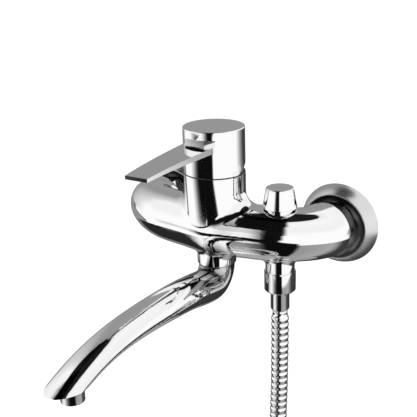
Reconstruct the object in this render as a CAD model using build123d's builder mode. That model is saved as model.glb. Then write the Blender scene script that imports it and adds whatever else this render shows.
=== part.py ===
# Bath mixer with a swivelling spout, a lever cartridge and a pull-up diverter
# The wall is the plane y = 0, the room is on the -y side, and z points up
# The origin is midway between the two wall inlets, in millimetres

from build123d import *
from math import acos, asin, cos, degrees, hypot, pi, radians, sin, sqrt, tan
import os

os.makedirs("parts", exist_ok=True)

# Fits
running_gap = 0.3
shaft_gap = 0.05
thread_gap = 0.07
thread_relief = 0.5
seat_gap = 0.02

# Inlets and unions
inlet_spacing = 150
union_offset = 4
half_inch_thread_radius = 10.48
wall_thread_length = 15
union_body_radius = 13.9
union_body_length = 5.5
union_thread_radius = 13.22
union_bore_radius = 8
union_bore_straight = 2
inlet_washer_thickness = 2
nut_across_flats = 30
nut_length = 15
nut_front_wall = 3.6

# Rosettes
rosette_back_radius = 31.7
rosette_lip_radius = 25.6
rosette_depth = 10.6
rosette_wall = 1.2
rosette_hub_depth = 4.6

# Body casting
body_depth = 60
arm_end_distance = 25
corner_radius = 28
arm_radius = 19.7
waist_radius = 20.3
centre_half_width = 24
centre_half_height = 22
tail_radius = 11.2
tail_length = 6
flange_radius = 12.6
flange_thickness = 1.8
waterway_radius = 9

# Tower that holds the cartridge
tower_radius = 23.2
tower_top = 47.2
tower_blend = 11
cartridge_bore_radius = 18.1
cartridge_bore_floor = 13

# Sockets on the underside
socket_boss_radius = 15
spout_neck_bottom = -24
spout_socket_radius = 12
spout_socket_depth = 20
outlet_boss_radius = 11
outlet_boss_bottom = -24
boss_blend = 4

# Diverter
diverter_x = 51
diverter_pad_radius = 10.2
diverter_pad_height = 0.6
diverter_bore_radius = 8.5
diverter_bore_depth = 34
diverter_travel = 9
knob_top_radius = 10.1
knob_base_radius = 12.8
knob_height = 15
bonnet_flange_radius = 9.4
bonnet_flange_thickness = 1.5
bonnet_thread_radius = 8.43
bonnet_thread_length = 5
diverter_stem_radius = 2.5
spool_radius = 7.6
spool_thickness = 3
spool_seal_thickness = 1.6
spring_wire_radius = 0.5
spring_turns = 4

# Cartridge
cartridge_radius = 17.4
cartridge_seal_thickness = 1.2
cartridge_base_thickness = 4.8
ceramic_thickness = 3
fixed_disc_radius = 14
moving_disc_radius = 9.6
carrier_radius = 9.4
carrier_thickness = 5.4
port_radius = 2.6
port_circle_radius = 6.5
housing_wall = 2.2
cartridge_nut_thickness = 4.7
housing_shoulder = tower_top - cartridge_nut_thickness
housing_neck_radius = 12.5
housing_neck_sink = 1.2
housing_top = tower_top - housing_neck_sink
guide_neck_radius = 10.5
spindle_width = 8
spindle_slot_length = 17
tilt_axis_sink = 2.5
tilt_axis_height = housing_shoulder - tilt_axis_sink
guide_depth = 9
guide_floor = tilt_axis_height - guide_depth
spindle_pin_radius = 1.25
spindle_pin_length = 24
finger_ball_radius = 2.6
finger_ball_sink = 0.92

# Lever handle
lever_tilt_range = 25
cap_radius = 23.1
slide_ring_thickness = 0.7
cap_bottom = tower_top + slide_ring_thickness + running_gap
cap_top = cap_bottom + 34.1
cap_wall = 1.8
cap_edge = 0.8
cap_front_ceiling = cap_bottom + 16.8
cap_rear_ceiling = cap_bottom + 21.8
cap_hub_radius = 7
cap_hub_bottom = cap_bottom + 14.3
cap_cut_start = 4
cap_cut_angle = 25.5
dome_foot_radius = 20.58
dome_wall = 1.2
dome_opening_radius = 15
blade_root_half_width = 13
blade_tip_half_width = 9
blade_reach = 95.6
blade_root_top = cap_bottom + 23.8
blade_tip_drop = 3.8
blade_tip_top = blade_root_top - blade_tip_drop
blade_root_thickness = 4.4
blade_tip_thickness = 2.6
blade_tongue_end = 6.5
recess_height = 4.3
grub_screw_radius = 2.5
grub_screw_height = cap_bottom + 26.8
plug_radius = 3.2
plug_depth = 2.5
blade_screw_radius = 2
blade_screw_head_radius = 3.4
blade_screw_reach = 14

# Spout, whose centre line runs in the plane x = 0
spout_ring_thickness = 0.6
spout_ring_radius = 13.6
spout_nipple_radius = 11.95
spout_nipple_length = 16
spout_neck_radius = 13.8
spout_heel_radius = 14.5
spout_arm_rise = 10
spout_arch_radius = 470
spout_arch_fall = 3
spout_bow_radius = 170
spout_tip_fall = 24
spout_tip_straight = 6
spout_arm_half_width = 13.6
spout_arm_crown = 10.5
spout_arm_belly = 12
spout_bow_crown = 8
spout_bow_belly = 8.2
spout_tip_half_width = 13.2
spout_tip_crown = 6
spout_tip_belly = 8.5
spout_rim_height = -44.2
spout_flat_start = 120
spout_wall = 2.6
spout_screw_radius = 2
spout_groove_depth = 1.6
spout_groove_width = 5
o_ring_section = 1.6
aerator_radius = 9
aerator_length = 7.5
aerator_proud = 4
aerator_setback = 171
aerator_hole_radius = 0.8

# Shower outlet and hose
nipple_top_radius = 8.3
nipple_top_length = 9
outlet_bore_radius = 6.2
nipple_thread_length = 9
check_valve_length = 9
hose_nut_radius = 11.9
hose_nut_length = 16.5
hose_nut_wall = 1.5
hose_washer_thickness = 2
hose_tail_flange = 2
sleeve_radius = 7.2
sleeve_length = 16.5
hose_diameter = 13.5
hose_bore_radius = 4.2
hose_rib_pitch = 5.14
hose_rib_depth = 0.75
cone_nut_length = 26.5
cone_length = 15
tie_width = 12
tie_thickness = 0.6
tie_gap = 0.4

# Hose route: a straight drop, three gentle bends and a coil, 1.5 m in all
hose_length = 1500
hose_points = [(0, 0), (0, -118), (-29.5, -169.1), (-80.6, -198.6), (-133.6, -198.6)]
coil_pitch = 14.1
coil_half_turns = 5

# Places worked out from the sizes above
half_spacing = inlet_spacing / 2
tower_y = -body_depth
tube_height = union_offset
bend_rise = body_depth - arm_end_distance
front_radius = ((half_spacing - corner_radius) ** 2 + bend_rise**2 - corner_radius**2) / (
    2 * (bend_rise - corner_radius)
)
front_angle = degrees(asin((half_spacing - corner_radius) / (front_radius - corner_radius)))
diverter_y = tower_y + front_radius - sqrt(front_radius**2 - diverter_x**2)
spout_screw_height = spout_neck_bottom + 4.5
diverter_pad_top = tube_height + waist_radius + diverter_pad_height


def save(piece, name):
    piece.label = name
    export_step(piece, f"parts/{name}.step")


def ring(inner, outer, low, high, x=0.0, y=0.0):
    with BuildPart() as part:
        with BuildSketch(Plane((x, y, low))):
            Circle(outer)
            Circle(inner, mode=Mode.SUBTRACT)
        extrude(amount=high - low)
    return part


def wall_plane(distance, height, side):
    return Plane((side * half_spacing, -distance, height), x_dir=(1, 0, 0), z_dir=(0, -1, 0))


def edges_round(part, x, y, low, high):
    """The edges that run round the vertical axis at x, y between two heights."""
    found = []
    for edge in part.edges():
        box = edge.bounding_box()
        size = max(box.size.X, box.size.Y)
        near = hypot(box.center().X - x, box.center().Y - y) < 0.7 * size
        if near and size > 10 and low < box.min.Z and box.max.Z < high:
            found.append(edge)
    return found


# Body casting: a tube that leaves one inlet, sweeps round the front and returns to the other
with BuildLine() as right_half:
    corner = JernArc((half_spacing, -arm_end_distance, tube_height), (0, -1, 0), corner_radius,
                     -(90 - front_angle))
    JernArc(corner @ 1, corner % 1, front_radius, -front_angle)
half_path = right_half.wires()[0]

section_places = [0, 0.2, 0.42, 0.66, 0.86]


def body_half_width(place):
    swell = max(0.0, (place - 0.42) / 0.58) ** 2
    return arm_radius + (waist_radius - arm_radius) * min(1, place / 0.42) + (
        (centre_half_width - waist_radius) * swell)


def body_half_height(place):
    swell = max(0.0, (place - 0.42) / 0.58) ** 2
    return arm_radius + (waist_radius - arm_radius) * min(1, place / 0.42) + (
        (centre_half_height - waist_radius) * swell)


def body_sections():
    found = []
    for place in section_places + [1]:
        point = half_path @ place
        heading = half_path % place
        found.append((place, point, heading))
    mirrored = [(p, Vector(-a.X, a.Y, a.Z), Vector(h.X, -h.Y, h.Z)) for p, a, h in found[-2::-1]]
    return found + mirrored


diverter_floor = diverter_pad_top - diverter_bore_depth
with BuildPart() as body:
    for place, point, heading in body_sections():
        with BuildSketch(Plane(point, x_dir=(0, 0, 1), z_dir=heading)):
            Ellipse(body_half_height(place), body_half_width(place))
    loft()
    # The tower rises from the middle and blends into the tube
    with BuildSketch(Plane((0, tower_y, tube_height))):
        Circle(tower_radius)
    extrude(amount=tower_top - tube_height)
    saddle = edges_round(body, 0, tower_y, tube_height + 4, tower_top - 1)
    fillet(saddle, tower_blend)
    # Neck for the spout and boss for the shower outlet, both blended into the underside
    for x, y, radius, bottom in ((0, tower_y, socket_boss_radius, spout_neck_bottom),
                                 (diverter_x, diverter_y, outlet_boss_radius, outlet_boss_bottom)):
        with BuildSketch(Plane((x, y, bottom))):
            Circle(radius)
        extrude(amount=tube_height - bottom)
        fillet(edges_round(body, x, y, bottom + 1, tube_height), boss_blend)
    with BuildSketch(Plane((diverter_x, diverter_y, tube_height))):
        Circle(diverter_pad_radius)
    extrude(amount=diverter_pad_top - tube_height)
    # A turned tail on each arm holds the union nut
    for side in (-1, 1):
        with BuildSketch(wall_plane(arm_end_distance, tube_height, side)):
            Circle(tail_radius)
        extrude(amount=-tail_length)
        with BuildSketch(wall_plane(arm_end_distance - tail_length, tube_height, side)):
            Circle(flange_radius)
        extrude(amount=-flange_thickness)
    # Bores for the cartridge, the spout, the diverter and the two inlets
    with BuildSketch(Plane((0, tower_y, cartridge_bore_floor))):
        Circle(cartridge_bore_radius)
    extrude(amount=tower_top - cartridge_bore_floor, mode=Mode.SUBTRACT)
    with BuildSketch(Plane((0, tower_y, spout_neck_bottom))):
        Circle(spout_socket_radius)
    extrude(amount=spout_socket_depth, mode=Mode.SUBTRACT)
    with BuildSketch(Plane((diverter_x, diverter_y, diverter_floor))):
        Circle(diverter_bore_radius)
    extrude(amount=diverter_bore_depth, mode=Mode.SUBTRACT)
    with BuildSketch(Plane((diverter_x, diverter_y, outlet_boss_bottom))):
        Circle(nipple_top_radius + thread_gap)
    extrude(amount=diverter_floor - outlet_boss_bottom, mode=Mode.SUBTRACT)
    for side in (-1, 1):
        with BuildSketch(wall_plane(arm_end_distance - tail_length - flange_thickness, tube_height,
                                    side)):
            Circle(waterway_radius)
        extrude(amount=tail_length + flange_thickness + 12, mode=Mode.SUBTRACT)
    # Tapped hole for the screw that keeps the spout in its socket
    with BuildSketch(Plane((0, tower_y, spout_screw_height), x_dir=(1, 0, 0), z_dir=(0, 1, 0))):
        Circle(spout_screw_radius)
    extrude(amount=socket_boss_radius + 2, mode=Mode.SUBTRACT)
print("body", body.part.is_valid, len(body.part.solids()), round(body.part.volume))
save(body.part, "body_casting")

# Inlet side: S-shaped unions, captive nuts, washers and rosettes
union_front = arm_end_distance - tail_length - flange_thickness - inlet_washer_thickness
nut_back = arm_end_distance - running_gap - nut_length
for side, hand in ((-1, "left"), (1, "right")):
    with BuildPart() as union:
        with BuildSketch(wall_plane(-wall_thread_length, 0, side)):
            Circle(half_inch_thread_radius)
        extrude(amount=wall_thread_length)
        with BuildSketch(wall_plane(0, 0, side)):
            Circle(union_body_radius)
        extrude(amount=union_body_length)
        with BuildSketch(wall_plane(union_body_length, tube_height, side)):
            Circle(union_thread_radius)
        extrude(amount=union_front - union_body_length)
        with BuildSketch(wall_plane(-wall_thread_length, 0, side)):
            Circle(union_bore_radius)
        extrude(amount=wall_thread_length + union_bore_straight, mode=Mode.SUBTRACT)
        with BuildSketch(wall_plane(union_bore_straight, 0, side)):
            Circle(union_bore_radius)
        with BuildSketch(wall_plane(union_front, tube_height, side)):
            Circle(union_bore_radius)
        loft(mode=Mode.SUBTRACT)
        outer_rim = union.edges().filter_by(GeomType.CIRCLE).sort_by(Axis.Y)[-2:]
        chamfer(outer_rim.sort_by(SortBy.LENGTH)[-1:], 1.2)
    save(union.part, f"union_{hand}")

    with BuildPart() as nut:
        with BuildSketch(wall_plane(nut_back, tube_height, side)):
            RegularPolygon(nut_across_flats / 2, 6, major_radius=False)
        extrude(amount=nut_length)
        # Both ends are turned down so that the corners fall away
        corner_reach = nut_across_flats / 2 / cos(radians(30))
        with BuildSketch(Plane((side * half_spacing, 0, tube_height), x_dir=(1, 0, 0),
                               z_dir=(0, 0, 1))) as turning:
            with BuildLine():
                Polyline((0, -nut_back), (nut_across_flats / 2, -nut_back),
                         (corner_reach + 0.2, -nut_back - 1.3),
                         (corner_reach + 0.2, -nut_back - nut_length + 1.3),
                         (nut_across_flats / 2, -nut_back - nut_length),
                         (0, -nut_back - nut_length), close=True)
            make_face()
        revolve(axis=Axis((side * half_spacing, 0, tube_height), (0, 1, 0)),
                mode=Mode.INTERSECT)
        with BuildSketch(wall_plane(nut_back, tube_height, side)):
            Circle(union_thread_radius + thread_gap)
        extrude(amount=nut_length - nut_front_wall, mode=Mode.SUBTRACT)
        with BuildSketch(wall_plane(nut_back, tube_height, side)):
            Circle(tail_radius + running_gap)
        extrude(amount=nut_length, mode=Mode.SUBTRACT)
    save(nut.part, f"union_nut_{hand}")

    with BuildPart() as washer:
        with BuildSketch(wall_plane(union_front, tube_height, side)):
            Circle(flange_radius - 0.3)
            Circle(waterway_radius, mode=Mode.SUBTRACT)
        extrude(amount=inlet_washer_thickness)
    save(washer.part, f"inlet_washer_{hand}")

    # The rosette is a flared dish with an open back
    with BuildPart() as rosette:
        with BuildSketch(Plane((side * half_spacing, 0, 0))):
            hub = union_body_radius + running_gap
            with BuildLine():
                back = (rosette_back_radius, 0)
                lip = (rosette_lip_radius, -rosette_depth)
                flank = ThreePointArc(back, (rosette_back_radius - 2.2, -0.52 * rosette_depth),
                                      (rosette_lip_radius + 0.6, -rosette_depth + 0.5))
                nose = ThreePointArc(flank @ 1, (rosette_lip_radius - 0.1, -rosette_depth),
                                     (rosette_lip_radius - 0.9, -rosette_depth + 0.4))
                dish = ThreePointArc(nose @ 1, (rosette_lip_radius - 4, -0.62 * rosette_depth),
                                     (hub, -rosette_hub_depth))
                edge = Line(dish @ 1, (hub, -rosette_hub_depth + rosette_wall))
                inner_dish = ThreePointArc(
                    edge @ 1, (rosette_lip_radius - 4, -0.62 * rosette_depth + rosette_wall),
                    (rosette_lip_radius - 0.6, -rosette_depth + 2.2))
                inner_flank = ThreePointArc(
                    inner_dish @ 1, (rosette_back_radius - 3.5, -0.5 * rosette_depth + 0.4),
                    (rosette_back_radius - rosette_wall, 0))
                Line(inner_flank @ 1, back)
            make_face()
        revolve(axis=Axis((side * half_spacing, 0, 0), (0, 1, 0)))
    save(rosette.part, f"rosette_{hand}")

# Cartridge, from the floor of the bore upwards
seal_top = cartridge_bore_floor + cartridge_seal_thickness
base_top = seal_top + cartridge_base_thickness
fixed_top = base_top + ceramic_thickness
moving_floor = fixed_top + seat_gap
moving_top = moving_floor + ceramic_thickness
carrier_top = moving_top + carrier_thickness

with BuildPart() as seals:
    with BuildSketch(Plane((0, tower_y, cartridge_bore_floor))):
        with PolarLocations(port_circle_radius, 3, start_angle=90):
            Circle(port_radius + 1.4)
            Circle(port_radius, mode=Mode.SUBTRACT)
    extrude(amount=cartridge_seal_thickness)
save(seals.part, "cartridge_seals")

with BuildPart() as base:
    with BuildSketch(Plane((0, tower_y, seal_top))):
        Circle(cartridge_radius)
        with PolarLocations(port_circle_radius, 3, start_angle=90):
            Circle(port_radius, mode=Mode.SUBTRACT)
    extrude(amount=cartridge_base_thickness)
save(base.part, "cartridge_base")

with BuildPart() as fixed_disc:
    with BuildSketch(Plane((0, tower_y, base_top))):
        Circle(fixed_disc_radius)
        with PolarLocations(port_circle_radius, 3, start_angle=90):
            SlotOverall(port_radius * 3.2, port_radius * 1.6, rotation=90, mode=Mode.SUBTRACT)
    extrude(amount=ceramic_thickness)
save(fixed_disc.part, "fixed_ceramic_disc")

with BuildPart() as moving_disc:
    with BuildSketch(Plane((0, tower_y, moving_floor))):
        Circle(moving_disc_radius)
    extrude(amount=ceramic_thickness)
    with BuildSketch(Plane((0, tower_y, moving_floor))):
        Circle(moving_disc_radius - 4)
    extrude(amount=ceramic_thickness / 2, mode=Mode.SUBTRACT)
save(moving_disc.part, "moving_ceramic_disc")

finger_low = carrier_top - finger_ball_sink
finger_reach = tilt_axis_height - finger_low
with BuildPart() as carrier:
    with BuildSketch(Plane((0, tower_y, moving_top))):
        Circle(carrier_radius)
    extrude(amount=carrier_thickness)
    with BuildSketch(Plane((0, tower_y, carrier_top))):
        Circle(finger_ball_radius + running_gap)
    extrude(amount=-carrier_thickness + 1, mode=Mode.SUBTRACT)
save(carrier.part, "disc_carrier")

with BuildPart() as housing:
    housing_bore = cartridge_radius - housing_wall
    with BuildSketch(Plane((0, tower_y, base_top))):
        Circle(cartridge_radius)
    extrude(amount=housing_shoulder - base_top)
    with BuildSketch(Plane((0, tower_y, housing_shoulder))):
        Circle(housing_neck_radius)
    extrude(amount=housing_top - housing_shoulder)
    with BuildSketch(Plane((0, tower_y, base_top))):
        Circle(housing_bore)
    extrude(amount=housing_shoulder - running_gap - base_top - 0.5, mode=Mode.SUBTRACT)
    with BuildSketch(Plane((0, tower_y, base_top))):
        Circle(guide_neck_radius + running_gap)
    extrude(amount=housing_top - base_top, mode=Mode.SUBTRACT)
save(housing.part, "cartridge_housing")

guide_disc_top = housing_shoulder - running_gap - 0.5 - running_gap
with BuildPart() as guide:
    with BuildSketch(Plane((0, tower_y, guide_floor))):
        Circle(housing_bore - running_gap)
    extrude(amount=guide_disc_top - guide_floor)
    with BuildSketch(Plane((0, tower_y, guide_disc_top))):
        Circle(guide_neck_radius)
    extrude(amount=housing_top - 0.4 - guide_disc_top)
    with BuildSketch(Plane((0, tower_y, guide_floor))):
        Rectangle(spindle_width + 2 * running_gap, spindle_slot_length)
    extrude(amount=housing_top - guide_floor, mode=Mode.SUBTRACT)
    with BuildSketch(Plane((0, tower_y, tilt_axis_height), x_dir=(0, 1, 0), z_dir=(1, 0, 0))):
        Circle(spindle_pin_radius + seat_gap)
    extrude(amount=spindle_pin_length / 2 + running_gap, both=True, mode=Mode.SUBTRACT)
save(guide.part, "swivel_guide")

with BuildPart() as pin:
    with BuildSketch(Plane((0, tower_y, tilt_axis_height), x_dir=(0, 1, 0), z_dir=(1, 0, 0))):
        Circle(spindle_pin_radius)
    extrude(amount=spindle_pin_length / 2, both=True)
save(pin.part, "spindle_pin")

spindle_top = grub_screw_height + grub_screw_radius + 1
with BuildPart() as spindle:
    with BuildSketch(Plane((0, tower_y, tilt_axis_height - spindle_width / 2 - 1))):
        Rectangle(spindle_width, spindle_width)
    extrude(amount=spindle_top - tilt_axis_height + spindle_width / 2 + 1)
    chamfer(spindle.faces().sort_by(Axis.Z)[-1].edges(), 0.8)
    with BuildSketch(Plane((0, tower_y, finger_low))):
        Circle(finger_ball_radius - 0.6)
    extrude(amount=finger_reach - spindle_width / 2)
    with BuildSketch(Plane((0, tower_y, finger_low), x_dir=(1, 0, 0), z_dir=(0, -1, 0))):
        with BuildLine():
            CenterArc((0, 0), finger_ball_radius, -90, 180)
            Line((0, finger_ball_radius), (0, -finger_ball_radius))
        make_face()
    revolve(axis=Axis((0, tower_y, finger_low), (0, 0, 1)))
    with BuildSketch(Plane((0, tower_y, tilt_axis_height), x_dir=(0, 1, 0), z_dir=(1, 0, 0))):
        Circle(spindle_pin_radius + shaft_gap)
    extrude(amount=spindle_width, both=True, mode=Mode.SUBTRACT)
save(spindle.part, "lever_spindle")

with BuildPart() as cartridge_nut:
    with BuildSketch(Plane((0, tower_y, housing_shoulder))):
        Circle(cartridge_bore_radius - thread_gap)
        Circle(housing_neck_radius + 0.2, mode=Mode.SUBTRACT)
    extrude(amount=tower_top - housing_shoulder)
    # Four slots take the ring spanner
    with BuildSketch(Plane((0, tower_y, tower_top))):
        with PolarLocations(cartridge_bore_radius - 1.2, 4, start_angle=45):
            Rectangle(3.4, 3)
    extrude(amount=-1.6, mode=Mode.SUBTRACT)
save(cartridge_nut.part, "cartridge_nut")

# Cover dome and slide ring between the tower and the lever cap
dome_floor = tower_top
dome_radius = hypot(dome_foot_radius, dome_floor - tilt_axis_height)
dome_rim_height = tilt_axis_height + sqrt(dome_radius**2 - dome_opening_radius**2)
with BuildPart() as dome:
    with BuildSketch(Plane((0, tower_y, 0), x_dir=(1, 0, 0), z_dir=(0, -1, 0))):
        inner = dome_radius - dome_wall
        inner_foot = sqrt(inner**2 - (dome_floor - tilt_axis_height) ** 2)
        inner_rim = tilt_axis_height + sqrt(inner**2 - dome_opening_radius**2)
        middle = (asin((dome_floor - tilt_axis_height) / dome_radius)
                  + acos(dome_opening_radius / dome_radius)) / 2
        with BuildLine():
            outer_arc = ThreePointArc(
                (dome_foot_radius, dome_floor),
                (dome_radius * cos(middle), tilt_axis_height + dome_radius * sin(middle)),
                (dome_opening_radius, dome_rim_height))
            rim = Line(outer_arc @ 1, (dome_opening_radius, inner_rim))
            inner_arc = ThreePointArc(
                rim @ 1, (inner * cos(middle), tilt_axis_height + inner * sin(middle)),
                (inner_foot, dome_floor))
            Line(inner_arc @ 1, outer_arc @ 0)
        make_face()
    revolve(axis=Axis((0, tower_y, 0), (0, 0, 1)))
save(dome.part, "cover_dome")

save(ring(dome_foot_radius + running_gap, tower_radius - 0.3, tower_top,
          tower_top + slide_ring_thickness, 0, tower_y).part, "slide_ring")

# Lever cap: a turned cup whose rear is cut away so that it can tip back
with BuildPart() as cap:
    with BuildSketch(Plane((0, tower_y, cap_bottom))):
        Circle(cap_radius)
    extrude(amount=cap_top - cap_bottom)
    fillet(cap.faces().sort_by(Axis.Z)[-1].edges(), cap_edge)
    with BuildSketch(Plane((0, tower_y, cap_bottom))):
        Circle(cap_radius - cap_wall)
    extrude(amount=cap_front_ceiling - cap_bottom, mode=Mode.SUBTRACT)
    with BuildSketch(Plane((0, tower_y, cap_front_ceiling))):
        Circle(cap_radius - cap_wall)
        with Locations((0, -cap_radius)):
            Rectangle(2 * cap_radius, 2 * cap_radius, mode=Mode.SUBTRACT)
    extrude(amount=cap_rear_ceiling - cap_front_ceiling, mode=Mode.SUBTRACT)
    with BuildSketch(Plane((0, tower_y, cap_hub_bottom))):
        Circle(cap_hub_radius)
    extrude(amount=cap_rear_ceiling + 1 - cap_hub_bottom)
    # The rear cut leaves the front of the rim and climbs to the back
    cut_reach = 2 * cap_radius
    with BuildSketch(Plane((0, 0, 0), x_dir=(0, 1, 0), z_dir=(1, 0, 0))):
        with BuildLine():
            Polyline((tower_y - cap_cut_start, cap_bottom),
                     (tower_y - cap_cut_start + cut_reach,
                      cap_bottom + cut_reach * tan(radians(cap_cut_angle))),
                     (tower_y - cap_cut_start + cut_reach, cap_bottom - 1),
                     (tower_y - cap_cut_start, cap_bottom - 1), close=True)
        make_face()
    extrude(amount=cap_radius + 1, both=True, mode=Mode.SUBTRACT)
    # Square socket for the spindle
    with BuildSketch(Plane((0, tower_y, cap_hub_bottom))):
        Rectangle(spindle_width + 2 * seat_gap, spindle_width + 2 * seat_gap)
    extrude(amount=spindle_top + 0.2 - cap_hub_bottom, mode=Mode.SUBTRACT)
    # Slot in the front wall: the blade fills its floor, the recess stays open above it
    blade_floor = blade_root_top - blade_root_thickness
    with BuildSketch(Plane((0, tower_y, blade_floor))):
        with Locations((0, -blade_tongue_end - cap_radius / 2)):
            Rectangle(2 * blade_root_half_width + 2 * seat_gap, cap_radius)
    extrude(amount=blade_root_thickness + recess_height, mode=Mode.SUBTRACT)
    with BuildSketch(Plane((0, 0, grub_screw_height), x_dir=(1, 0, 0), z_dir=(0, 1, 0)).offset(
            tower_y)):
        Circle(grub_screw_radius + seat_gap)
    extrude(amount=cap_radius + 1, mode=Mode.SUBTRACT)
    with BuildSketch(Plane((0, 0, grub_screw_height), x_dir=(1, 0, 0), z_dir=(0, 1, 0)).offset(
            tower_y + cap_radius - plug_depth)):
        Circle(plug_radius + seat_gap)
    extrude(amount=plug_depth + 1, mode=Mode.SUBTRACT)
    with BuildSketch(Plane((0, tower_y - blade_screw_reach, cap_front_ceiling - 1))):
        Circle(blade_screw_radius + shaft_gap)
    extrude(amount=blade_floor - cap_front_ceiling + 1.5, mode=Mode.SUBTRACT)
save(cap.part, "lever_cap")

# Blade: a thin tapering plate whose tongue sits in the cap
with BuildPart() as blade:
    with BuildSketch(Plane((0, tower_y, 0), x_dir=(0, 1, 0), z_dir=(1, 0, 0))):
        tip_floor = blade_tip_top - blade_tip_thickness
        root_y = -cap_radius - 0.4
        with BuildLine():
            crown = Spline((root_y, blade_root_top),
                           (-blade_reach, blade_tip_top),
                           tangents=[(-1, -0.02), (-1, -0.1)])
            tip = Line(crown @ 1, (-blade_reach, tip_floor))
            keel = Spline(tip @ 1, (root_y, blade_floor), tangents=[(1, 0.09), (1, 0.01)])
            Polyline(keel @ 1, (-blade_tongue_end, blade_floor),
                     (-blade_tongue_end, blade_root_top), crown @ 0)
        make_face()
    extrude(amount=blade_root_half_width, both=True)
    with BuildSketch(Plane((0, tower_y, 0))):
        with BuildLine():
            Polyline((-blade_root_half_width, -blade_tongue_end),
                     (-blade_root_half_width, root_y),
                     (-blade_tip_half_width, -blade_reach),
                     (blade_tip_half_width, -blade_reach),
                     (blade_root_half_width, root_y),
                     (blade_root_half_width, -blade_tongue_end), close=True)
        make_face()
    extrude(amount=cap_top, mode=Mode.INTERSECT)
    with BuildSketch(Plane((0, tower_y - blade_screw_reach, blade_floor))):
        Circle(blade_screw_radius)
    extrude(amount=blade_root_thickness - 1, mode=Mode.SUBTRACT)
save(blade.part, "lever_blade")

with BuildPart() as blade_screw:
    with BuildSketch(Plane((0, tower_y - blade_screw_reach, cap_front_ceiling))):
        Circle(blade_screw_head_radius)
    extrude(amount=-1.8)
    with BuildSketch(Plane((0, tower_y - blade_screw_reach, cap_front_ceiling))):
        Circle(blade_screw_radius - seat_gap)
    extrude(amount=blade_root_top - 1.3 - cap_front_ceiling)
save(blade_screw.part, "blade_screw")

with BuildPart() as grub_screw:
    screw_start = tower_y + spindle_width / 2 + seat_gap
    screw_end = tower_y + cap_radius - plug_depth - 1
    with BuildSketch(Plane((0, screw_start, grub_screw_height), x_dir=(1, 0, 0), z_dir=(0, 1, 0))):
        Circle(grub_screw_radius)
    extrude(amount=screw_end - screw_start)
    with BuildSketch(Plane((0, screw_end, grub_screw_height), x_dir=(1, 0, 0), z_dir=(0, 1, 0))):
        RegularPolygon(1.25, 6, major_radius=False)
    extrude(amount=-2.5, mode=Mode.SUBTRACT)
save(grub_screw.part, "lever_grub_screw")

with BuildPart() as plug:
    with BuildSketch(Plane((0, tower_y + cap_radius - plug_depth, grub_screw_height),
                           x_dir=(1, 0, 0), z_dir=(0, 1, 0))):
        Circle(plug_radius)
    extrude(amount=plug_depth - 0.3)
    fillet(plug.faces().sort_by(Axis.Y)[-1].edges(), 0.4)
save(plug.part, "indicator_plug")

# Spout: a round neck that turns forward into a long arched arm with a flat-cut tip
spout_top = spout_neck_bottom - spout_ring_thickness
save(ring(spout_nipple_radius + shaft_gap, spout_ring_radius, spout_top + seat_gap / 2,
          spout_neck_bottom - seat_gap / 2, 0, tower_y).part, "spout_slip_ring")


with BuildLine(Plane.YZ) as spine:
    heel = JernArc((tower_y, spout_top), (0, -1), spout_heel_radius, -(90 + spout_arm_rise))
    arch = JernArc(heel @ 1, heel % 1, spout_arch_radius, spout_arm_rise + spout_arch_fall)
    bow = JernArc(arch @ 1, arch % 1, spout_bow_radius, spout_tip_fall - spout_arch_fall)
    Line(bow @ 1, bow @ 1 + (bow % 1) * spout_tip_straight)
spout_line = spine.wires()[0]

# Half width, crown and belly of the arm at shares of its length
spout_shape = [
    (0, spout_neck_radius, spout_neck_radius, spout_neck_radius),
    (0.14, spout_neck_radius, spout_neck_radius - 1, spout_neck_radius - 0.6),
    (0.42, spout_arm_half_width, spout_arm_crown, spout_arm_belly),
    (0.76, spout_tip_half_width, spout_bow_crown, spout_bow_belly),
    (1, spout_tip_half_width, spout_tip_crown, spout_tip_belly),
]
spout_places = [0, 0.03, 0.065, 0.1, 0.127, 0.24, 0.38, 0.52, 0.66, 0.8, 0.9, 1]


def spout_section(place):
    for (a, *first), (b, *last) in zip(spout_shape, spout_shape[1:]):
        if place <= b:
            share = (place - a) / (b - a)
            return [x + (y - x) * share for x, y in zip(first, last)]
    return list(spout_shape[-1][1:])


def spout_sections(places, inset):
    sections = []
    for place in places:
        half_width, crown, belly = [size - inset for size in spout_section(place)]
        plane = Plane(spout_line @ place, x_dir=(1, 0, 0), z_dir=spout_line % place)
        with BuildSketch(plane) as section:
            with BuildLine():
                ThreePointArc((-half_width, 0), (0, crown), (half_width, 0))
                EllipticalCenterArc((0, 0), half_width, belly, start_angle=180, arc_size=180)
            make_face()
        sections.append(section.sketch)
    return sections


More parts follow.
